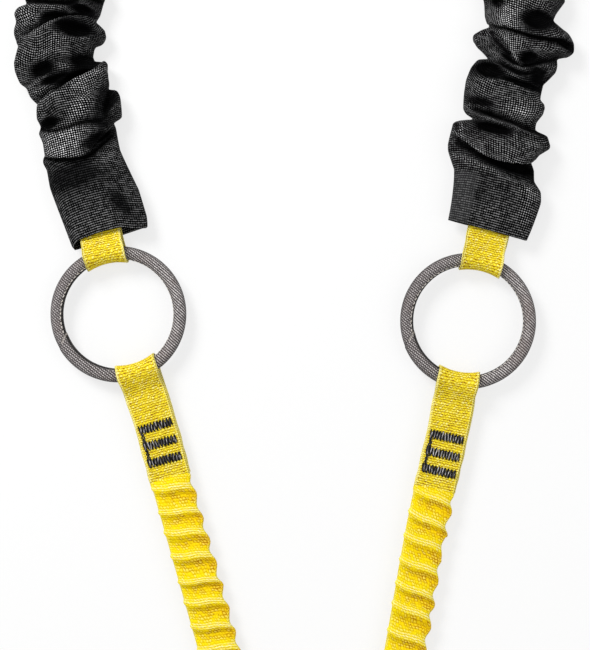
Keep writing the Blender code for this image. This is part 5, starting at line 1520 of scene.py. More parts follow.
def sleeve(prefix, strap, settings):
    """The gathered sleeve: a smooth cuff at the ring, then folds that lean over each other."""
    length = strap.length / MM
    columns, rows = 132, 360
    side = ARMS[prefix]["side"]
    cuff = CUFF_LENGTH[prefix]
    seed = 31 if prefix == "left" else 32
    unseen = unseen_folds(side, SEEN_FOLDS + 6.0, length - 10, seed)
    over = {kind: seen + unseen[kind] for kind, seen in SLEEVE_FOLDS[prefix].items()}
    under = unseen_folds(-side, cuff + 12.0, length - 10, seed + 10)

    def place(share_across, share_along):
        # The cloth's edges meet underneath, and most of its columns and rows lie where its folds are seen
        angle = np.interp(share_across, (0, 1 / 6, 5 / 6, 1), (-math.pi / 2, 0, math.pi, 1.5 * math.pi))
        c, s = np.cos(angle), np.sin(angle)
        along = np.interp(share_along, (0, 2 / 3, 1), (0, SEEN_FOLDS + 5.0, length))
        gathered = smooth_step((along - 0.75 * cuff) / (0.35 * cuff))
        right = edge_reach(prefix, "right", along, length)
        left = edge_reach(prefix, "left", along, length)
        across = np.sign(c) * np.abs(c) ** 0.75 * np.where(c > 0, right, left)
        draw_in = smooth_step((length - along) / 34.0)
        half = (settings.cuff_half_height * (1 - gathered) + settings.sleeve_half_height * gathered) / MM
        half = 4.2 + (half - 4.2) * draw_in
        mouth = 1 - 0.30 * (1 - smooth_step(along / 16.0))
        bulk = np.abs(s) ** 0.62
        up, up_shift, up_painted_shade, up_painted_light = fold_shape(along, across, over, settings.fold_lean)
        low, low_shift, low_painted_shade, low_painted_light = fold_shape(along, across, under, settings.fold_lean)
        top = s > 0
        fold = np.where(top, up, low * 0.8) * settings.fold_share * draw_in
        shift = np.where(top, up_shift, low_shift) * settings.fold_share * draw_in
        ripple = 0.20 * np.sin(along / 1.9 + 1.7 * np.sin(across / 7.0)) * gathered
        ripple += 0.25 * np.sin(across / 3.4 + along / 9.0) + 0.2 * np.sin(across / 2.1 - along / 4.0) * gathered
        face = np.abs(s) ** 0.5
        above = bulk * half * mouth + face * (fold + ripple * 0.6)
        # Over the webbing the cloth lies on it, however deep the fold
        over_webbing = 3.4 * smooth_step((16.0 - np.abs(across)) / 3.0)
        above = over_webbing + np.logaddexp(0.0, (above - over_webbing) * 2.2) / 2.2
        ground = strap.height(along * MM) / MM - 0.35
        above = np.where(top, above, -np.minimum(above, ground))
        lip = eased(across, SLEEVE_LIPS[prefix], 1.5) * (1 - smooth_step(along / 24.0))
        shift = shift * face * smooth_step(along / 12.0) + np.where(top, lip * np.minimum(1.0, 3 * s), 0.0)
        spots = strap.place((along + shift) * MM, across * MM, above * MM)
        # hollow: painted shade that hides the threads in creases and hollows; shine: painted light on the threads,
        # painted shade where it is low
        marks = {"hollow": np.clip(np.where(top, up_painted_shade, low_painted_shade), 0, 1) * face,
                 "shine": np.clip(0.17 + 1.15 * np.where(top, up_painted_light, low_painted_light), 0, 1),
                 "hem": flat_hem(prefix, along, across) * top}
        return spots, np.stack([share_across * columns, share_along * rows], -1), marks

    thing = skin(f"{prefix}_gathered_sleeve", columns, rows, place, "sleeve", wraps=True)
    flat_length = cut_cloth(thing, columns, rows, SLEEVE_CLOTH_WIDTH)
    wall = thing.modifiers.new("cloth", "SOLIDIFY")
    wall.thickness = 0.0009
    wall.offset = -1.0
    stands_for(thing, f"{prefix}_sleeve", "sleeve_nylon")
    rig.blend(thing, f"{prefix}_upper_arm", f"{prefix}_upper_end", start=strap.spot(0.02),
             end=strap.spot(strap.length - 0.02))
    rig.sheet(thing, flat=(SLEEVE_CLOTH_WIDTH, flat_length), held="gathered",
             rests_on=[f"{prefix}_upper_webbing_run"])


def evened(values, down, right):
    """A grid of values with each point drawn to the mean of its neighbours, by so many steps each way."""
    for axis, reach in ((0, down), (1, right)):
        if reach:
            bell = np.exp(-0.5 * (np.arange(-2 * reach, 2 * reach + 1) / reach) ** 2)
            bell /= bell.sum()
            pads = [(0, 0), (0, 0)]
            pads[axis] = (2 * reach, 2 * reach)
            padded = np.pad(values, pads, mode="reflect", reflect_type="odd")
            values = np.apply_along_axis(lambda line: np.convolve(line, bell, mode="valid"), axis, padded)
    return values


def cut_cloth(thing, columns, rows, width):
    """Turn column and row numbers into real lengths over the folded cloth; return its mean length."""
    mesh = thing.data
    spots = np.empty(len(mesh.vertices) * 3, np.float32)
    mesh.vertices.foreach_get("co", spots)
    corners = np.empty(len(mesh.loops), np.int32)
    mesh.loops.foreach_get("vertex_index", corners)
    layer = mesh.uv_layers["cloth"]
    flat = np.empty(len(mesh.loops) * 2, np.float32)
    layer.uv.foreach_get("vector", flat)
    column, row = np.round(flat.reshape(-1, 2)).astype(int).T
    grid = np.zeros((rows + 1, columns + 1, 3))
    grid[row, column] = spots.reshape(-1, 3)[corners]
    run = np.zeros((rows + 1, columns + 1))
    run[1:] = np.cumsum(np.linalg.norm(np.diff(grid, axis=0), axis=2), axis=0)
    mean = run[-1].mean()
    run = evened(run * (0.4 + 0.6 * mean / run[-1]), 0, 5)
    round_it = np.zeros((rows + 1, columns + 1))
    round_it[:, 1:] = np.cumsum(np.linalg.norm(np.diff(grid, axis=1), axis=2), axis=1)
    total = round_it[:, -1:].copy()
    round_it = (round_it - round_it[:, columns // 2, None]) * (0.3 + 0.7 * width / total)
    round_it = evened(round_it, 9, 0)
    cloth = np.stack([round_it[row, column], run[row, column]], -1)
    layer.uv.foreach_set("vector", cloth.astype(np.float32).ravel())
    return float(mean)


# Turned, bent and cut steel

def rounded(corners, step=math.radians(9)):
    """A closed outline through corners given as x, y and fillet radius."""
    points = []
    for i, (x, y, radius) in enumerate(corners):
        here = Vector((x, y))
        back = (Vector(corners[i - 1][:2]) - here).normalized()
        ahead = (Vector(corners[(i + 1) % len(corners)][:2]) - here).normalized()
        turn = math.pi - back.angle(ahead)
        if radius <= 0 or turn < 0.01:
            points.append(here)
            continue
        middle = here + (back + ahead).normalized() * (radius / math.cos(turn / 2))
        start = here + back * radius * math.tan(turn / 2) - middle
        sense = 1 if back.x * ahead.y - back.y * ahead.x < 0 else -1
        pieces = max(2, math.ceil(turn / step))
        points += [middle + Matrix.Rotation(sense * turn * k / pieces, 2) @ start for k in range(pieces + 1)]
    return points


def plate(outline, half_thick, edge, segments=4):
    """A flat solid over an outline, its rims rounded."""
    bm = bmesh.new()
    lid = bm.faces.new([bm.verts.new((x, y, -half_thick)) for x, y in outline])
    grown = bmesh.ops.extrude_face_region(bm, geom=[lid])["geom"]
    bmesh.ops.translate(bm, vec=(0.0, 0.0, 2 * half_thick),
                        verts=[g for g in grown if isinstance(g, bmesh.types.BMVert)])
    bmesh.ops.recalc_face_normals(bm, faces=bm.faces)
    rims = [e for e in bm.edges if abs(e.verts[0].co.z - e.verts[1].co.z) < half_thick]
    bmesh.ops.bevel(bm, geom=rims, offset=edge, offset_type="OFFSET", segments=segments, profile=0.5,
                    affect="EDGES", material=-1, clamp_overlap=False)
    return bm


def block(low, high):
    """A box between any two opposite corners."""
    bm = bmesh.new()
    low, high = Vector(low), Vector(high)
    bmesh.ops.create_cube(bm, size=1.0, matrix=Matrix.Translation((low + high) / 2)
                          @ Matrix.Diagonal((*(abs(c) for c in high - low), 1.0)))
    return bm


def rod(radius, length, place, sides=32):
    """A round bar along its own Z."""
    bm = bmesh.new()
    bmesh.ops.create_cone(bm, cap_ends=True, segments=sides, radius1=radius, radius2=radius, depth=length,
                          matrix=place)
    return bm


def passing_thing(bm):
    """A bmesh as an object that is only worked with."""
    return linked("work", mesh_of("work", bm))


def carved(name, bm, cutters, place, finish, body, node, edge):
    """A solid with cutters taken out of it one by one, its new edges eased, put by a matrix on a body."""
    solid = passing_thing(bm)
    tools = [passing_thing(c) for c in cutters]
    for tool in tools:
        step = solid.modifiers.new("cut", "BOOLEAN")
        step.operation, step.solver, step.object = "DIFFERENCE", "EXACT", tool
    bpy.context.view_layer.update()
    mesh = bpy.data.meshes.new_from_object(solid.evaluated_get(bpy.context.evaluated_depsgraph_get()))
    for thing in [solid] + tools:
        bpy.data.objects.remove(thing)
    mesh.materials.clear()
    mesh.name = name
    mesh.transform(place)
    mesh.shade_smooth()
    mesh.set_sharp_from_angle(angle=math.radians(32))
    made = piece(name, mesh, finish, body)
    if edge:
        ease = made.modifiers.new("eased edges", "BEVEL")
        ease.width, ease.segments, ease.limit_method, ease.angle_limit = edge, 2, "ANGLE", math.radians(38)
    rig.replaces(made, node)


def bent_bar(name, points, radius, finish, body, node, rows, columns=20, closed=False):
    """Round bar along a line of points."""
    points = np.array([tuple(p) for p in points])
    if closed:
        points = np.vstack([points, points[:1]])
    run = run_of(points)
    even = np.linspace(0, run[-1], rows + 1)
    line = np.stack([np.interp(even, run, points[:, k]) for k in range(3)], -1)
    if closed:
        way = np.roll(line[:-1], -1, axis=0) - np.roll(line[:-1], 1, axis=0)
        way = np.vstack([way, way[:1]])
    else:
        way = np.gradient(line, axis=0)
    way /= np.linalg.norm(way, axis=1)[:, None]
    side = np.cross(way, (0.0, 0.0, 1.0))
    side /= np.linalg.norm(side, axis=1)[:, None]
    up = np.cross(side, way)

    def place(share_across, share_along):
        angle = math.tau * share_across
        r = nearest(share_along, rows)
        spots = line[r] + radius * (side[r] * np.cos(angle)[:, None] + up[r] * np.sin(angle)[:, None])
        return spots, np.stack([angle * radius, even[r]], -1), {}

    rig.replaces(skin(name, columns, rows, place, finish, body, wraps=True, caps=not closed), node)


def spun(name, profile, place, finish, body, node):
    """A round piece about its own Z, from a profile of radius and height."""
    bm = bmesh.new()
    spots = [bm.verts.new((r, 0.0, z)) for r, z in profile]
    edges = [bm.edges.new(pair) for pair in zip(spots, spots[1:])]
    bmesh.ops.spin(bm, geom=spots + edges, cent=(0, 0, 0), axis=(0, 0, 1), angle=math.tau, steps=32, use_merge=True)
    bmesh.ops.remove_doubles(bm, verts=bm.verts, dist=0.000001)
    bmesh.ops.recalc_face_normals(bm, faces=bm.faces)
    bmesh.ops.transform(bm, matrix=place, verts=bm.verts)
    made = finished(name, bm, finish, body)
    made.data.set_sharp_from_angle(angle=math.radians(40))
    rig.replaces(made, node)


# Hooks

def rivet(name, place, body):
    """A rivet with low domed heads."""
    half, head, neck = HOOK_HALF_THICK, RIVET_HEAD, RIVET_HEAD_THICK
    dome = [(head * math.sin(a), half - neck * 0.45 * (1 - math.cos(a))) for a in np.linspace(0, math.pi / 2, 6)]
    profile = dome + [(head, half - neck), (RIVET_RADIUS, half - neck)]
    profile += [(r, -z) for r, z in reversed(profile)]
    spun(f"{name}_head", profile, place, "polished", body, name)


def coil_spring(name, place, body):
    """A short coil round a rivet, with two straight legs."""
    radius = RIVET_RADIUS + 0.0008 + SPRING_WIRE / 2
    low, high = LUG_HALF + GAP + SPRING_WIRE / 2, CHEEK_INNER - GAP - SPRING_WIRE / 2
    turns = np.linspace(0, 1.5 * math.tau, 60)
    coil = np.stack([radius * np.cos(turns), radius * np.sin(turns), np.linspace(low, high, 60)], -1)
    leg = (0.0, -0.0016, 0.0)
    line = [place @ Vector(p) for p in np.vstack([coil[0] + leg, coil, coil[-1] + leg])]
    bent_bar(f"{name}_coil", line, SPRING_WIRE / 2, "spring", body, name, rows=110, columns=8)


def hook(prefix, size, web_width, side, frame_of):
    """A double-action hook: forged body, pressed gate and safety lever, their pin, rivets and springs."""
    nose, bar, crown, top, floor = (size[k] for k in ("nose_x", "bar", "crown", "top", "floor"))
    gate_x, gate_y, lever_y = size["gate_x"], size["gate_y"], size["lever_y"]
    spine = nose - 2 * crown - size["seat"]
    ear_in = web_width / 2 + EAR_SIDE_GAP
    ear_out = ear_in + EAR_WIDTH
    drop = PIN_RADIUS + 0.003
    slot = PIN_RADIUS + SEAT_GAP + WEB_THICK + 0.0035
    body = f"{prefix}_hook"
    corners = [
        (-ear_out, -drop, 0.0028), (-ear_out, floor * 0.62, 0.010),
        (spine - bar, floor + bar + crown * 0.5, crown * 0.7), (spine - bar, top + bar, crown + bar),
        (nose + bar, top + bar, crown + bar), (nose + bar, size["nose_y"] + 0.002, 0.005),
        (nose + 0.001, size["nose_y"] - 0.001, 0.004), (nose, size["nose_y"] + 0.006, 0.0),
        (nose, top, crown), (spine, top, crown),
        (spine, floor + crown * 0.8, crown * 0.5), (spine + crown, floor, crown * 0.25),
        (gate_x - LUG_RADIUS, floor, 0.004), (gate_x - LUG_RADIUS, gate_y + LUG_RADIUS, LUG_RADIUS * 0.95),
        (gate_x + LUG_RADIUS, gate_y + LUG_RADIUS, LUG_RADIUS * 0.95),
        (gate_x + LUG_RADIUS, gate_y - LUG_RADIUS, 0.006),
        (ear_out, floor * 0.55, 0.006), (ear_out, -drop, 0.0028),
        (ear_in, -drop, 0.0028), (ear_in, slot, 0.0025), (-ear_in, slot, 0.0025), (-ear_in, -drop, 0.0028),
    ]
    across = Matrix.Rotation(math.pi / 2, 4, "Y")
    gate_spot = Matrix.Translation((side * gate_x, gate_y, 0.0))
    lever_spot = Matrix.Translation((side * (spine - bar / 2), lever_y, 0.0))
    tall, far = 4 * HOOK_HALF_THICK, HOOK_HALF_THICK + 0.002
    hole = RIVET_RADIUS + GAP
    cutters = [rod(PIN_RADIUS + GAP, 3 * ear_out, across), rod(hole, tall, gate_spot, 24),
               rod(hole, tall, lever_spot, 24)]
    below = GATE_HALF + 0.0015
    low_x, high_x = side * (gate_x - LUG_REACH), side * (gate_x + LUG_REACH)
    left_x, right_x = side * (spine - 2 * bar), side * (spine - bar / 2 + GATE_HALF + 0.0013)
    for low_z, high_z in ((LUG_HALF, far), (-far, -LUG_HALF)):
        cutters.append(block((low_x, gate_y - below, low_z), (high_x, gate_y + LUG_REACH, high_z)))
        cutters.append(block((left_x, lever_y - LUG_REACH, low_z), (right_x, lever_y + below, high_z)))
    forged = plate(rounded([(side * x, y, r) for x, y, r in corners]), HOOK_HALF_THICK, HOOK_ROUND, 5)
    carved(f"{prefix}_hook_forging", forged, cutters, frame_of, "forged", body, f"{prefix}_hook_body", 0.0004)

    def press(part, outline, cutters, x, y, turn):
        """A pressed piece with two cheeks, on its own body that turns about x and y."""
        flat = plate(rounded([(side * a, b, r) for a, b, r in outline]), CHEEK_INNER + CHEEK, 0.0009, 3)
        place = frame_of @ Matrix.Translation((side * x, y, 0.0)) @ Matrix.Rotation(-side * turn, 4, "Z")
        carved(f"{prefix}_{part}_pressing", flat, cutters, place, "pressed", f"{prefix}_{part}",
               f"{prefix}_hook_{part}", 0.0002)

    long = size["tip_y"] - gate_y
    lean = math.atan((nose - GAP - GATE_HALF - gate_x) / long)
    outline = [(-GATE_HALF, -GATE_HALF, GATE_HALF * 0.98), (GATE_HALF, -GATE_HALF, GATE_HALF * 0.98),
               (GATE_HALF, long, 0.003), (-GATE_HALF, long, 0.004)]
    low_x, high_x = -side * (GATE_HALF + 0.003), side * (GATE_HALF - 0.0015)
    cutters = [block((low_x, -0.012, -CHEEK_INNER), (high_x, long - 0.007, CHEEK_INNER)),
               block((-0.012, -0.013, -CHEEK_INNER), (0.012, LUG_RADIUS + 0.001, CHEEK_INNER)),
               rod(hole, tall, Matrix.Identity(4), 24)]
    press("gate", outline, cutters, gate_x, gate_y, lean)

    stand, length = bar / 2 + 0.001, size["lever"]
    outline = [(GATE_HALF, GATE_HALF, GATE_HALF * 0.95), (GATE_HALF, -GATE_HALF, GATE_HALF * 0.8),
               (-stand, -0.011, 0.002), (-stand, -length, 0.003), (-stand - 0.009, -length - 0.004, 0.003),
               (-stand - 0.0065, -length * 0.5, 0.02), (-stand - 0.004, GATE_HALF, 0.005)]
    low_x, high_x = -side * (stand + GAP), side * 0.02
    cutters = [block((low_x, -0.02, -CHEEK_INNER), (high_x, 0.02, CHEEK_INNER)),
               rod(hole, tall, Matrix.Identity(4), 24)]
    grip = side * (-stand - 0.0100)
    for k in range(5):
        spot = Matrix.Translation((grip + side * 0.0006 * k, -length * 0.92 + 0.0042 * k, 0.0))
        cutters.append(rod(0.0011, tall, spot, 12))
    press("lever", outline, cutters, spine - bar / 2, lever_y, LEVER_TRAVEL)

    half_pin = ear_out - GAP
    rim = 0.0005
    profile = [(0.0, half_pin), (PIN_RADIUS - rim, half_pin), (PIN_RADIUS, half_pin - rim)]
    profile += [(r, -z) for r, z in reversed(profile)]
    spun(f"{prefix}_pin_turning", profile, frame_of @ across, "polished", body, f"{prefix}_webbing_pin")
    for name, spot in (("gate", gate_spot), ("lever", lever_spot)):
        rivet(f"{prefix}_{name}_rivet", frame_of @ spot, body)
        coil_spring(f"{prefix}_{name}_spring", frame_of @ spot, body)


# Absorber

def absorber_place():
    """The absorber's own frame: its origin between the arms' loops, its Y towards them."""
    link, hook_axis = joint_place("yoke_link_swing"), joint_place("harness_hook_swing")
    up = (link - hook_axis).xy.normalized()
    spot = link.xy + up * LINK_HEIGHT
    return Matrix.Translation((spot.x, spot.y, link.z - LINK_Z)) @ Matrix.Rotation(math.atan2(-up.x, up.y), 4, "Z")


def put(place, spots):
    """Points given in a frame, as points in the world."""
    matrix = np.array(place)
    return spots @ matrix[:3, :3].T + matrix[:3, 3]


def tear_path():
    """The folded ribbon's middle line, as places along and heights: eye, runs to and fro, way down, eye."""
    side, length, angle = loop_rows(TEAR_TAIL)
    along, above = loop_points(side, length, angle, np.full_like(length, LINK_BAR + SEAT_GAP), TEAR_THICK, 0.0)
    spots = list(zip(-LINK_HEIGHT - along, LINK_Z + above))
    flat = (TEAR_THICK + GAP) / 2
    for run in range(TEAR_RUNS):
        height = LINK_Z - flat + TEAR_PITCH * run
        sign = -1 if run % 2 == 0 else 1
        last = PACK_BOTTOM if sign < 0 else PACK_TOP
        spots += [(y, height) for y in np.linspace(spots[-1][0], last, 16)[1:]]
        if run < TEAR_RUNS - 1:
            turns = np.linspace(0, math.pi, 10)[1:]
            spots += [(last + sign * TEAR_PITCH / 2 * math.sin(a), height + TEAR_PITCH / 2 * (1 - math.cos(a)))
                      for a in turns]
    high, landing = spots[-1][1], HOOK_Z + flat
    shares = np.linspace(0, 1, 18)[1:]
    begin, end = PACK_BOTTOM - 0.003, HARNESS_AXIS + 0.026
    spots += list(zip(begin + (end - begin) * shares, high + (landing - high) * smooth_step(shares)))
    along, above = loop_points(side, length, angle, np.full_like(length, PIN_RADIUS + SEAT_GAP), TEAR_THICK, 0.0)
    kept = (side < 1) | (length < 0.0255)
    spots += list(zip(HARNESS_AXIS + along[kept], HOOK_Z + above[kept]))
    return np.array(spots)


def tear_webbing(place_of):
    """One ribbon, folded to and fro between its two sewn eyes."""
    path = tear_path()
    run = run_of(path)
    way = np.gradient(path, run, axis=0)
    way /= np.linalg.norm(way, axis=1)[:, None]
    across, out, round_it = band_section(TEAR_HALF, TEAR_THICK / 2)
    columns, rows = len(across) - 1, len(path) - 1

    def place(share_across, share_along):
        c, r = nearest(share_across, columns), nearest(share_along, rows)
        a = across[c]
        wobble = 0.00015 * np.sin(run[r] / 0.0034 + 2 * np.sin(run[r] / 0.012)) * np.sign(a)
        flat = np.stack([a + wobble, path[r, 0] - way[r, 1] * out[c], path[r, 1] + way[r, 0] * out[c]], -1)
        side = np.where(np.abs(a) > TEAR_HALF - TEAR_THICK / 2, way_side(round_it[c], TEAR_HALF, TEAR_THICK), a)
        return put(place_of, flat), np.stack([side, run[r]], -1), {}

    ribbon = skin("folded_tear_webbing", columns, rows, place, "tear", "absorber", wraps=True, caps=True)
    stands_for(ribbon, "tear_webbing", "tear_webbing")


def pouch_spots(upper, around, y):
    """Points on one half of the pouch, from its seam over to the other seam, with hems at its mouths."""
    low = SHELF + POUCH_WALL / 2
    flat = (TEAR_THICK + GAP) / 2
    top = LINK_Z - flat + TEAR_PITCH * (TEAR_RUNS - 1) + TEAR_THICK / 2 + 3 * GAP + POUCH_WALL / 2
    harness = HOOK_Z + flat
    stations = [
        (POUCH_LOW, low + 0.0020, harness + 0.0042), (POUCH_LOW + 0.0070, low + 0.0012, harness + 0.0075),
        (PACK_BOTTOM - 0.0180, low + 0.0002, top * 0.87), (PACK_BOTTOM - 0.0070, low, top),
        (PACK_TOP + 0.0060, low, top), (PACK_TOP + 0.0130, low + 0.0004, top * 0.77),
        (POUCH_HIGH, low + 0.0017, LINK_Z + 0.0031),
    ]
    lowest = eased(y, [(s[0], s[1]) for s in stations], 0.0015)
    highest = eased(y, [(s[0], s[2]) for s in stations], 0.0015)
    seam = lowest + 0.48 * (highest - lowest)
    angle = math.pi * around
    c, s = np.cos(angle), np.maximum(np.sin(angle), 0.0)
    mouth = np.minimum(y - POUCH_LOW, POUCH_HIGH - y)
    hem = 0.00045 * (1 - smooth_step((mouth - HEM) / 0.0006))
    near_seam = np.exp(-((1 - np.abs(c)) / 0.10) ** 2)
    pucker = 0.00022 * np.sin(y / 0.0014 + 1.3 * np.sin(y / 0.006)) * near_seam
    pucker *= smooth_step((mouth - HEM - 0.001) / 0.01)
    crease = 0.00030 * (0.5 + 0.5 * np.sin(y / 0.0075 + 2.2 * c + 1.5 * np.sin(y / 0.019))) * (1 - near_seam)
    crease *= smooth_step(mouth / 0.02)
    swell = hem + pucker + crease
    narrow = TEAR_HALF + POUCH_SIDE - 0.001 * (1 - smooth_step(mouth / 0.006)) + swell * 0.6
    x = -np.sign(c) * np.abs(c) ** 0.3 * narrow
    lift = s ** 0.3
    if upper:
        start, end = seam + SEAM_HALF_GAP, highest + swell
    else:
        start, end = seam - SEAM_HALF_GAP, lowest
    return np.stack([x, y, start + (end - start) * lift], -1)


def closer_at_ends(shares):
    """Shares drawn towards 0 and 1, where the pouch bends most."""
    return 0.5 - 0.5 * np.cos(math.pi * shares)


def pouch_half(name, node, upper, place_of):
    """Half of the pouch, from its seam over its top or under its bottom."""
    columns, rows = 64, 150
    shares = np.linspace(0, 1, columns + 1)
    girth = run_of(pouch_spots(upper, closer_at_ends(shares), np.full(columns + 1, POUCH_FULL)))

    def place(share_across, share_along):
        y = POUCH_LOW + (POUCH_HIGH - POUCH_LOW) * share_along
        spots = pouch_spots(upper, closer_at_ends(share_across), y)
        return put(place_of, spots), np.stack([np.interp(share_across, shares, girth), y], -1), {}

    half = skin(name, columns, rows, place, "fabric", "absorber")
    wall = half.modifiers.new("wall", "SOLIDIFY")
    wall.thickness, wall.offset = POUCH_WALL, 0.0
    stands_for(half, node, "pouch_fabric")


def seam_height():
    """Height of the pouch's seam where it is full."""
    return float(pouch_spots(True, np.zeros(1), np.array([POUCH_FULL]))[0, 2])


def side_band(name, side, half_width, low, high, place_of, node=None):
    """A woven tape standing on the pouch's side along its seam."""
    across, out, _ = band_section(half_width, 0.0004, straight=8, edge=3)
    columns, rows = len(across) - 1, 70
    reach = POUCH_OUT + 0.0004
    seam = seam_height()

    def place(share_across, share_along):
        c = nearest(share_across, columns)
        y = low + (high - low) * share_along
        wave = 0.00008 * np.sin(y / 0.0016) * np.abs(across[c]) / half_width
        spots = np.stack([side * (reach + out[c] + wave), y, seam + across[c]], -1)
        return put(place_of, spots), np.stack([across[c], y], -1), {}

    tape = skin(name, columns, rows, place, "fabric", "absorber", wraps=True, caps=True)
    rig.slot(tape, "pouch_fabric")
    if node:
        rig.replaces(tape, node)


def pouch_stitches(place_of):
    """Lock stitches: round both hems, along the zip's tape and along the far seam."""
    turn = place_of.to_3x3()
    places = []

    def stitch(spot, way, off):
        """One stitch, by its place, its direction and the way out of the cloth."""
        places.append(laid(place_of @ Vector(spot), turn @ Vector(way), turn @ Vector(off), 0.0024, 0.00055, 0.00045))

    pitch, ahead = 0.0031, 0.0005
    shares = closer_at_ends(np.linspace(0.0005, 0.9995, 600))
    for y in (POUCH_LOW + 0.0055, POUCH_HIGH - 0.0055):
        for upper in (True, False):
            line = pouch_spots(upper, shares, np.full(600, y))
            run = run_of(line)
            for distance in np.arange(0.002, run[-1] - 0.002, pitch):
                spot, after = (np.array([np.interp(d, run, line[:, k]) for k in range(3)])
                               for d in (distance, distance + ahead))
                off = np.cross(after - spot, (0.0, 1.0, 0.0)) * (-1 if upper else 1)
                off /= np.linalg.norm(off)
                # Out of the cloth: up or down on its faces, away from the middle on its sides
                if abs(off[2]) >= 0.2 and (off[2] > 0) != upper:
                    off = -off
                if abs(off[2]) <= 0.2 and off[0] * spot[0] < 0:
                    off = -off
                stitch(spot + off * (POUCH_WALL / 2 + 0.0001), after - spot, off)
    reach, seam = POUCH_OUT + 0.0009, seam_height()
    for side, half in ((1, 0.0027), (-1, 0.0017)):
        for height in (-half, half):
            for y in np.arange(PACK_BOTTOM + 0.006, PACK_TOP - 0.005, pitch):
                stitch((side * reach, y, seam + height), (0, 1, 0), (side, 0, 0))
    stitches = grains("pouch_stitches", places, "pouch_thread", "absorber", sides=6, rings=5)
    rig.slot(stitches, "tack_thread")


def zip_teeth(place_of):
    """Moulded teeth, those of one side standing between those of the other, with a stop at each end."""
    bm = bmesh.new()
    seam = seam_height()
    low, high, pitch = PACK_BOTTOM + 0.0055, PACK_TOP - 0.0055, 0.0022

    def tooth(y, z, wide, tall):
        place = Matrix.Translation((POUCH_OUT + 0.0008, y, z)) @ Matrix.Diagonal((0.0011, wide, tall, 1))
        bmesh.ops.create_cube(bm, size=1.0, matrix=place)

    for k in range(int((high - low) / pitch)):
        for side in (-1, 1):
            tooth(low + pitch * (k + 0.25 * side + 0.5), seam + side * 0.0004, 0.0008, 0.0019)
    for y in (low - 0.0008, high + 0.0008):
        tooth(y, seam, 0.0016, 0.0038)
    bmesh.ops.bevel(bm, geom=bm.edges, offset=0.00018, offset_type="OFFSET", segments=1, profile=0.5, affect="EDGES",
                    material=-1)
    bmesh.ops.transform(bm, matrix=place_of, verts=bm.verts)
    teeth = finished("zip_teeth", bm, "zip", "absorber")
    teeth.data.set_sharp_from_angle(angle=math.radians(40))
    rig.slot(teeth, "zip_plastic")


def zip_slider(place_of):
    """The zip's slider: two wings, a bridge and a pull tab with an eye."""
    face = Matrix.Translation((POUCH_OUT + 0.0014 + GAP, PACK_TOP - 0.009, seam_height()))
    face = place_of @ face @ Matrix.Rotation(math.pi / 2, 4, "Y")

    def slab(x_low, y_low, x_high, y_high, *radii):
        """A four-sided outline, its radii given for the low and the high end."""
        return rounded([(-x_low, y_low, radii[0]), (x_low, y_low, radii[0]),
                        (x_high, y_high, radii[-1]), (-x_high, y_high, radii[-1])])

    wings = rounded([(-0.0022, -0.004, 0.001), (0.0022, -0.004, 0.001), (0.0032, 0.0, 0.002), (0.0030, 0.004, 0.0012),
                     (0.0, 0.0030, 0.001), (-0.0030, 0.004, 0.0012), (-0.0032, 0.0, 0.002)])
    lift = face @ Matrix.Translation((0, 0, 0.0006))
    carved("zip_slider_wings", plate(wings, 0.0006, 0.00025, 3), [], lift, "pressed", "zip_slider", "zip_slider", 0)
    arch = [lift @ Vector((0.0, 0.0022 * math.cos(a), 0.0006 + 0.0016 * math.sin(a)))
            for a in np.linspace(0, math.pi, 12)]
    tab = slab(0.0028, -0.020, 0.0020, 0.0016, 0.0015, 0.001)
    eye = slab(0.0011, -0.0022, 0.0011, 0.0006, 0.0006)
    slot = slab(0.0013, -0.0178, 0.0010, -0.0085, 0.001, 0.0008)
    lift = face @ Matrix.Translation((0, 0, 0.0021))
    carved("zip_pull_tab", plate(tab, 0.0006, 0.0003, 3), [plate(eye, 0.002, 0.0), plate(slot, 0.002, 0.0)], lift,
           "pressed", "zip_slider", "zip_slider", 0.00015)
    bent_bar("zip_slider_bridge", arch, 0.00045, "pressed", "zip_slider", "zip_slider", rows=24, columns=8)


# Operators

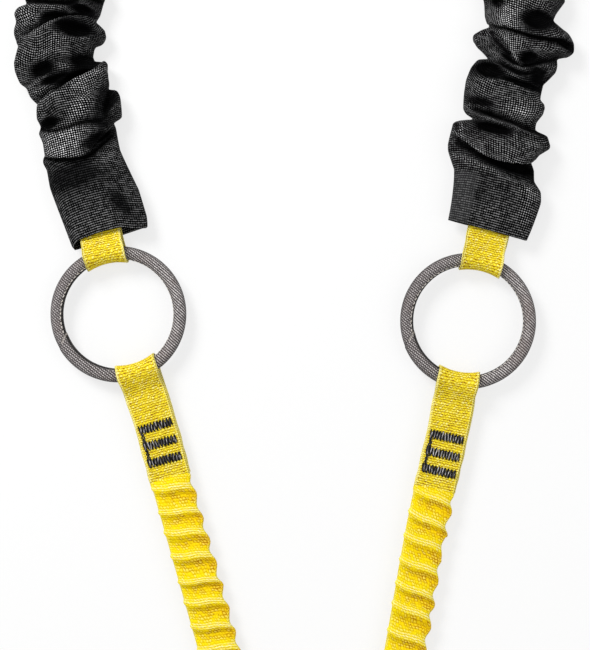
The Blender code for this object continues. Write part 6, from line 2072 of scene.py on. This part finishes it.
class LANYARD_OT_stage(bpy.types.Operator):
    """Lay the floor, hang the lamps and set the camera straight above"""

    bl_idname = "lanyard.stage"
    bl_label = "Stage"

    def execute(self, context):
        settings = context.scene.lanyard_stage
        bm = bmesh.new()
        bmesh.ops.create_grid(bm, x_segments=1, y_segments=1, size=6.0)
        mesh = mesh_of("floor", bm)
        floor = linked("floor", mesh)
        mesh.transform(Matrix.Translation((0.0, 0.0, -0.0005)))
        paper = Finish("White paper", roughness=0.9)
        grain = paper.noise(paper.local(), 400.0)
        paper.feed(paper.shader.inputs["Base Color"], paper.blend(grain, (0.82, 0.82, 0.82), (0.86, 0.86, 0.86)))
        glow = paper.out("ShaderNodeEmission", {"Color": WHITE, "Strength": 1.0})
        seen = paper.signals(paper.add("ShaderNodeLightPath"))
        share = seen["Is Camera Ray"].larger(seen["Is Glossy Ray"]).larger(seen["Is Transmission Ray"]) * 0.72
        mixed = paper.out("ShaderNodeMixShader", {0: share, 1: Signal(paper, paper.shader.outputs[0]), 2: glow})
        paper.feed(paper.tree.nodes["Material Output"].inputs["Surface"], mixed)
        mesh.materials.append(paper.material)
        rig.stage(floor)

        world = bpy.data.worlds.new("Even light")
        context.scene.world = world
        world.use_nodes = True
        board = Board(world.node_tree)
        seen = board.signals(board.add("ShaderNodeLightPath"))
        share = seen["Is Camera Ray"].larger(seen["Is Transmission Ray"])
        sky = world.node_tree.nodes["Background"]
        board.feed(sky.inputs["Color"], WHITE)
        board.feed(sky.inputs["Strength"], share * (1.0 - settings.sky) + settings.sky)

        middle = Vector((*PHOTO_MIDDLE, 0.0))
        for name, offset, size, power in (
                ("key lamp", (-0.75, 0.85, 1.05), 0.55, settings.key_power),
                ("fill lamp", (0.9, -0.3, 1.2), 1.0, settings.key_power * 0.22)):
            data = bpy.data.lights.new(name, "AREA")
            data.energy = power
            data.size = size
            lamp = linked(name, data)
            lamp.location = middle + Vector(offset)
            lamp.rotation_euler = (-Vector(offset)).to_track_quat("-Z", "Y").to_euler()

        lens = bpy.data.cameras.new("camera")
        lens.lens = settings.focal_length
        lens.sensor_width = 36.0
        lens.clip_start = 0.01
        lens.clip_end = 20.0
        camera = linked("camera", lens)
        camera.location = (*PHOTO_MIDDLE, settings.camera_height)
        context.scene.camera = camera
        context.scene.view_settings.view_transform = "Standard"
        return {"FINISHED"}


class LANYARD_OT_lower_arms(bpy.types.Operator):
    """Make the gathered webbing, its elastic core and the sewn loops at the ring and the yoke"""

    bl_idname = "lanyard.lower_arms"
    bl_label = "Lower arms"

    def execute(self, context):
        for prefix in SIDES:
            strap = lower_strap(prefix)
            far = strap.turned_round()
            gathered_webbing(prefix, strap, context.scene.lanyard_folds)
            flat_run(f"{prefix}_elastic_core", f"{prefix}_lower_elastic_core", far, 0.0090, 0.0009, "elastic",
                     "elastic", f"{prefix}_arm", f"{prefix}_arm_end")
            sewn_end(prefix, "lower", strap)
            sewn_end(prefix, "yoke", far)
        return {"FINISHED"}


class LANYARD_OT_rings(bpy.types.Operator):
    """Cover the two steel rings in their sewn woven tubes"""

    bl_idname = "lanyard.rings"
    bl_label = "Rings"

    def execute(self, context):
        for prefix in SIDES:
            ring_cover(prefix)
        return {"FINISHED"}


class LANYARD_OT_upper_arms(bpy.types.Operator):
    """Make the inner webbing, its loops and tacks and the gathered sleeves"""

    bl_idname = "lanyard.upper_arms"
    bl_label = "Upper arms"

    def execute(self, context):
        for prefix in SIDES:
            strap = upper_strap(prefix)
            flat_run(f"{prefix}_upper_webbing_run", f"{prefix}_upper_webbing", strap, WEB_HALF, WEB_THICK, "webbing",
                     "yellow_webbing", f"{prefix}_upper_arm", f"{prefix}_upper_end")
            sewn_end(prefix, "upper", strap)
            sewn_end(prefix, "hook", strap.turned_round())
            sleeve(prefix, sleeve_strap(prefix), context.scene.lanyard_folds)
        return {"FINISHED"}


class LANYARD_OT_absorber(bpy.types.Operator):
    """Fold the tear webbing, sew its eyes and close it in its zipped pouch"""

    bl_idname = "lanyard.absorber"
    bl_label = "Absorber"

    def execute(self, context):
        place_of = absorber_place()
        tear_webbing(place_of)
        link, harness = joint_place("yoke_link_swing"), joint_place("harness_hook_swing")
        down = Strap([np.array(link.xy), np.array(harness.xy)], link.z, link.z)
        up = Strap([np.array(harness.xy), np.array(link.xy)], harness.z, harness.z)
        for name, strap, distance, seed in (("absorber_arm_tack", down, 0.024, 80),
                                            ("absorber_harness_tack", up, 0.0205, 81)):
            bar_tack(f"{name}_stitches", name, strap, 0, "absorber", seed, distance=distance, pitch=0.0054,
                     bars=(-0.5, 0.5), half=0.0112, thick=TEAR_THICK, reach=0.0050)
        pouch_half("pouch_front_fabric", "pouch_front_shell", True, place_of)
        pouch_half("pouch_back_fabric", "pouch_back_shell", False, place_of)
        side_band("zip_tape", 1, 0.0035, PACK_BOTTOM + 0.004, PACK_TOP - 0.004, place_of, "zip_chain")
        side_band("pouch_seam_tape", -1, 0.0026, PACK_BOTTOM + 0.002, PACK_TOP - 0.002, place_of)
        pouch_stitches(place_of)
        zip_teeth(place_of)
        zip_slider(place_of)
        return {"FINISHED"}


class LANYARD_OT_hooks(bpy.types.Operator):
    """Make the two large hooks, the harness hook and the yoke link"""

    bl_idname = "lanyard.hooks"
    bl_label = "Hooks"

    def execute(self, context):
        place_of = absorber_place()
        apex = (WEB_HALF + 0.0025) * math.sin(LINK_SLOPE)
        shoulder_y = apex - LINK_SHOULDER * math.tan(LINK_SLOPE)
        corners = [(0.0, apex, LINK_CORNER), (LINK_SHOULDER, shoulder_y, LINK_CORNER),
                   (LINK_BASE, -LINK_HEIGHT, 0.0072), (-LINK_BASE, -LINK_HEIGHT, 0.0072),
                   (-LINK_SHOULDER, shoulder_y, LINK_CORNER)]
        line = [place_of @ Vector((x, y, LINK_Z)) for x, y in rounded(corners)]
        bent_bar("yoke_link_bar", line, LINK_BAR, "polished", "yoke_link", "yoke_link", closed=True, rows=240)
        for prefix in SIDES:
            hook(prefix, LARGE_HOOK, 2 * WEB_HALF, -ARMS[prefix]["side"],
                 Matrix.Translation(joint_place(f"{prefix}_hook_swing")))
        turn = place_of.to_3x3().to_4x4() @ Matrix.Rotation(math.pi, 4, "Z")
        hook("harness", HARNESS_HOOK, 2 * TEAR_HALF, 1, Matrix.Translation(joint_place("harness_hook_swing")) @ turn)
        return {"FINISHED"}


class LANYARD_OT_steel(bpy.types.Operator):
    """Give the hooks, pins, rings and yoke link their worked steel"""

    bl_idname = "lanyard.steel"
    bl_label = "Steel"

    def execute(self, context):
        finishes = (("_body", "forged"), ("_gate", "pressed"), ("_lever", "pressed"), ("spring", "spring"),
                    ("rivet", "polished"), ("pin", "polished"), ("ring_steel", "polished"), ("yoke_link", "polished"),
                    ("zip_slider", "pressed"), ("zip_chain", "zip"), ("pouch", "fabric"), ("tear", "tear"),
                    ("tack", "thread"))
        for name, node in frame["nodes"].items():
            for word, key in finishes:
                if word in name and not (word in ("_gate", "_lever") and ("rivet" in name or "spring" in name)):
                    node.data.materials.clear()
                    node.data.materials.append(material(key))
                    break
        return {"FINISHED"}


class LANYARD_PT_panel(bpy.types.Panel):
    """Lists the lanyard's makers and settings"""

    bl_idname = "LANYARD_PT_panel"
    bl_label = "Lanyard"
    bl_space_type = "VIEW_3D"
    bl_region_type = "UI"
    bl_category = "Lanyard"

    def draw(self, context):
        for operator in OPERATORS:
            self.layout.operator(operator.bl_idname)
        for settings in ("lanyard_cloth", "lanyard_folds", "lanyard_stage"):
            group_of = getattr(context.scene, settings)
            for key in group_of.__annotations__:
                self.layout.prop(group_of, key)


OPERATORS = (LANYARD_OT_stage, LANYARD_OT_lower_arms, LANYARD_OT_rings, LANYARD_OT_upper_arms, LANYARD_OT_absorber,
             LANYARD_OT_hooks, LANYARD_OT_steel)
SETTINGS = {"lanyard_cloth": LanyardCloth, "lanyard_folds": LanyardFolds, "lanyard_stage": LanyardStage}


def register():
    for settings in SETTINGS.values():
        bpy.utils.register_class(settings)
    for operator in OPERATORS:
        bpy.utils.register_class(operator)
    bpy.utils.register_class(LANYARD_PT_panel)
    for name, settings in SETTINGS.items():
        setattr(bpy.types.Scene, name, bpy.props.PointerProperty(type=settings))


def unregister():
    for name in SETTINGS:
        delattr(bpy.types.Scene, name)
    bpy.utils.unregister_class(LANYARD_PT_panel)
    for operator in reversed(OPERATORS):
        bpy.utils.unregister_class(operator)
    for settings in SETTINGS.values():
        bpy.utils.unregister_class(settings)


def clear_scene():
    """Remove what the file starts with, apart from the frame."""
    for thing in list(bpy.data.objects):
        if not any(key.startswith("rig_") for key in thing.keys()) and not thing.name.startswith("body:"):
            bpy.data.objects.remove(thing)


def main():
    """Make every piece in order and keep the two boxes."""
    register()
    clear_scene()
    bpy.ops.lanyard.stage()
    bpy.ops.lanyard.lower_arms()
    bpy.ops.lanyard.rings()
    bpy.ops.lanyard.upper_arms()
    bpy.ops.lanyard.absorber()
    bpy.ops.lanyard.hooks()
    bpy.ops.lanyard.steel()
    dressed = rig.bounds()
    with open("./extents.json", "w") as target:
        json.dump({"cad": [list(c) for c in CAD_BOX], "visual": [list(c) for c in dressed]}, target)


if __name__ == "__main__":
    main()
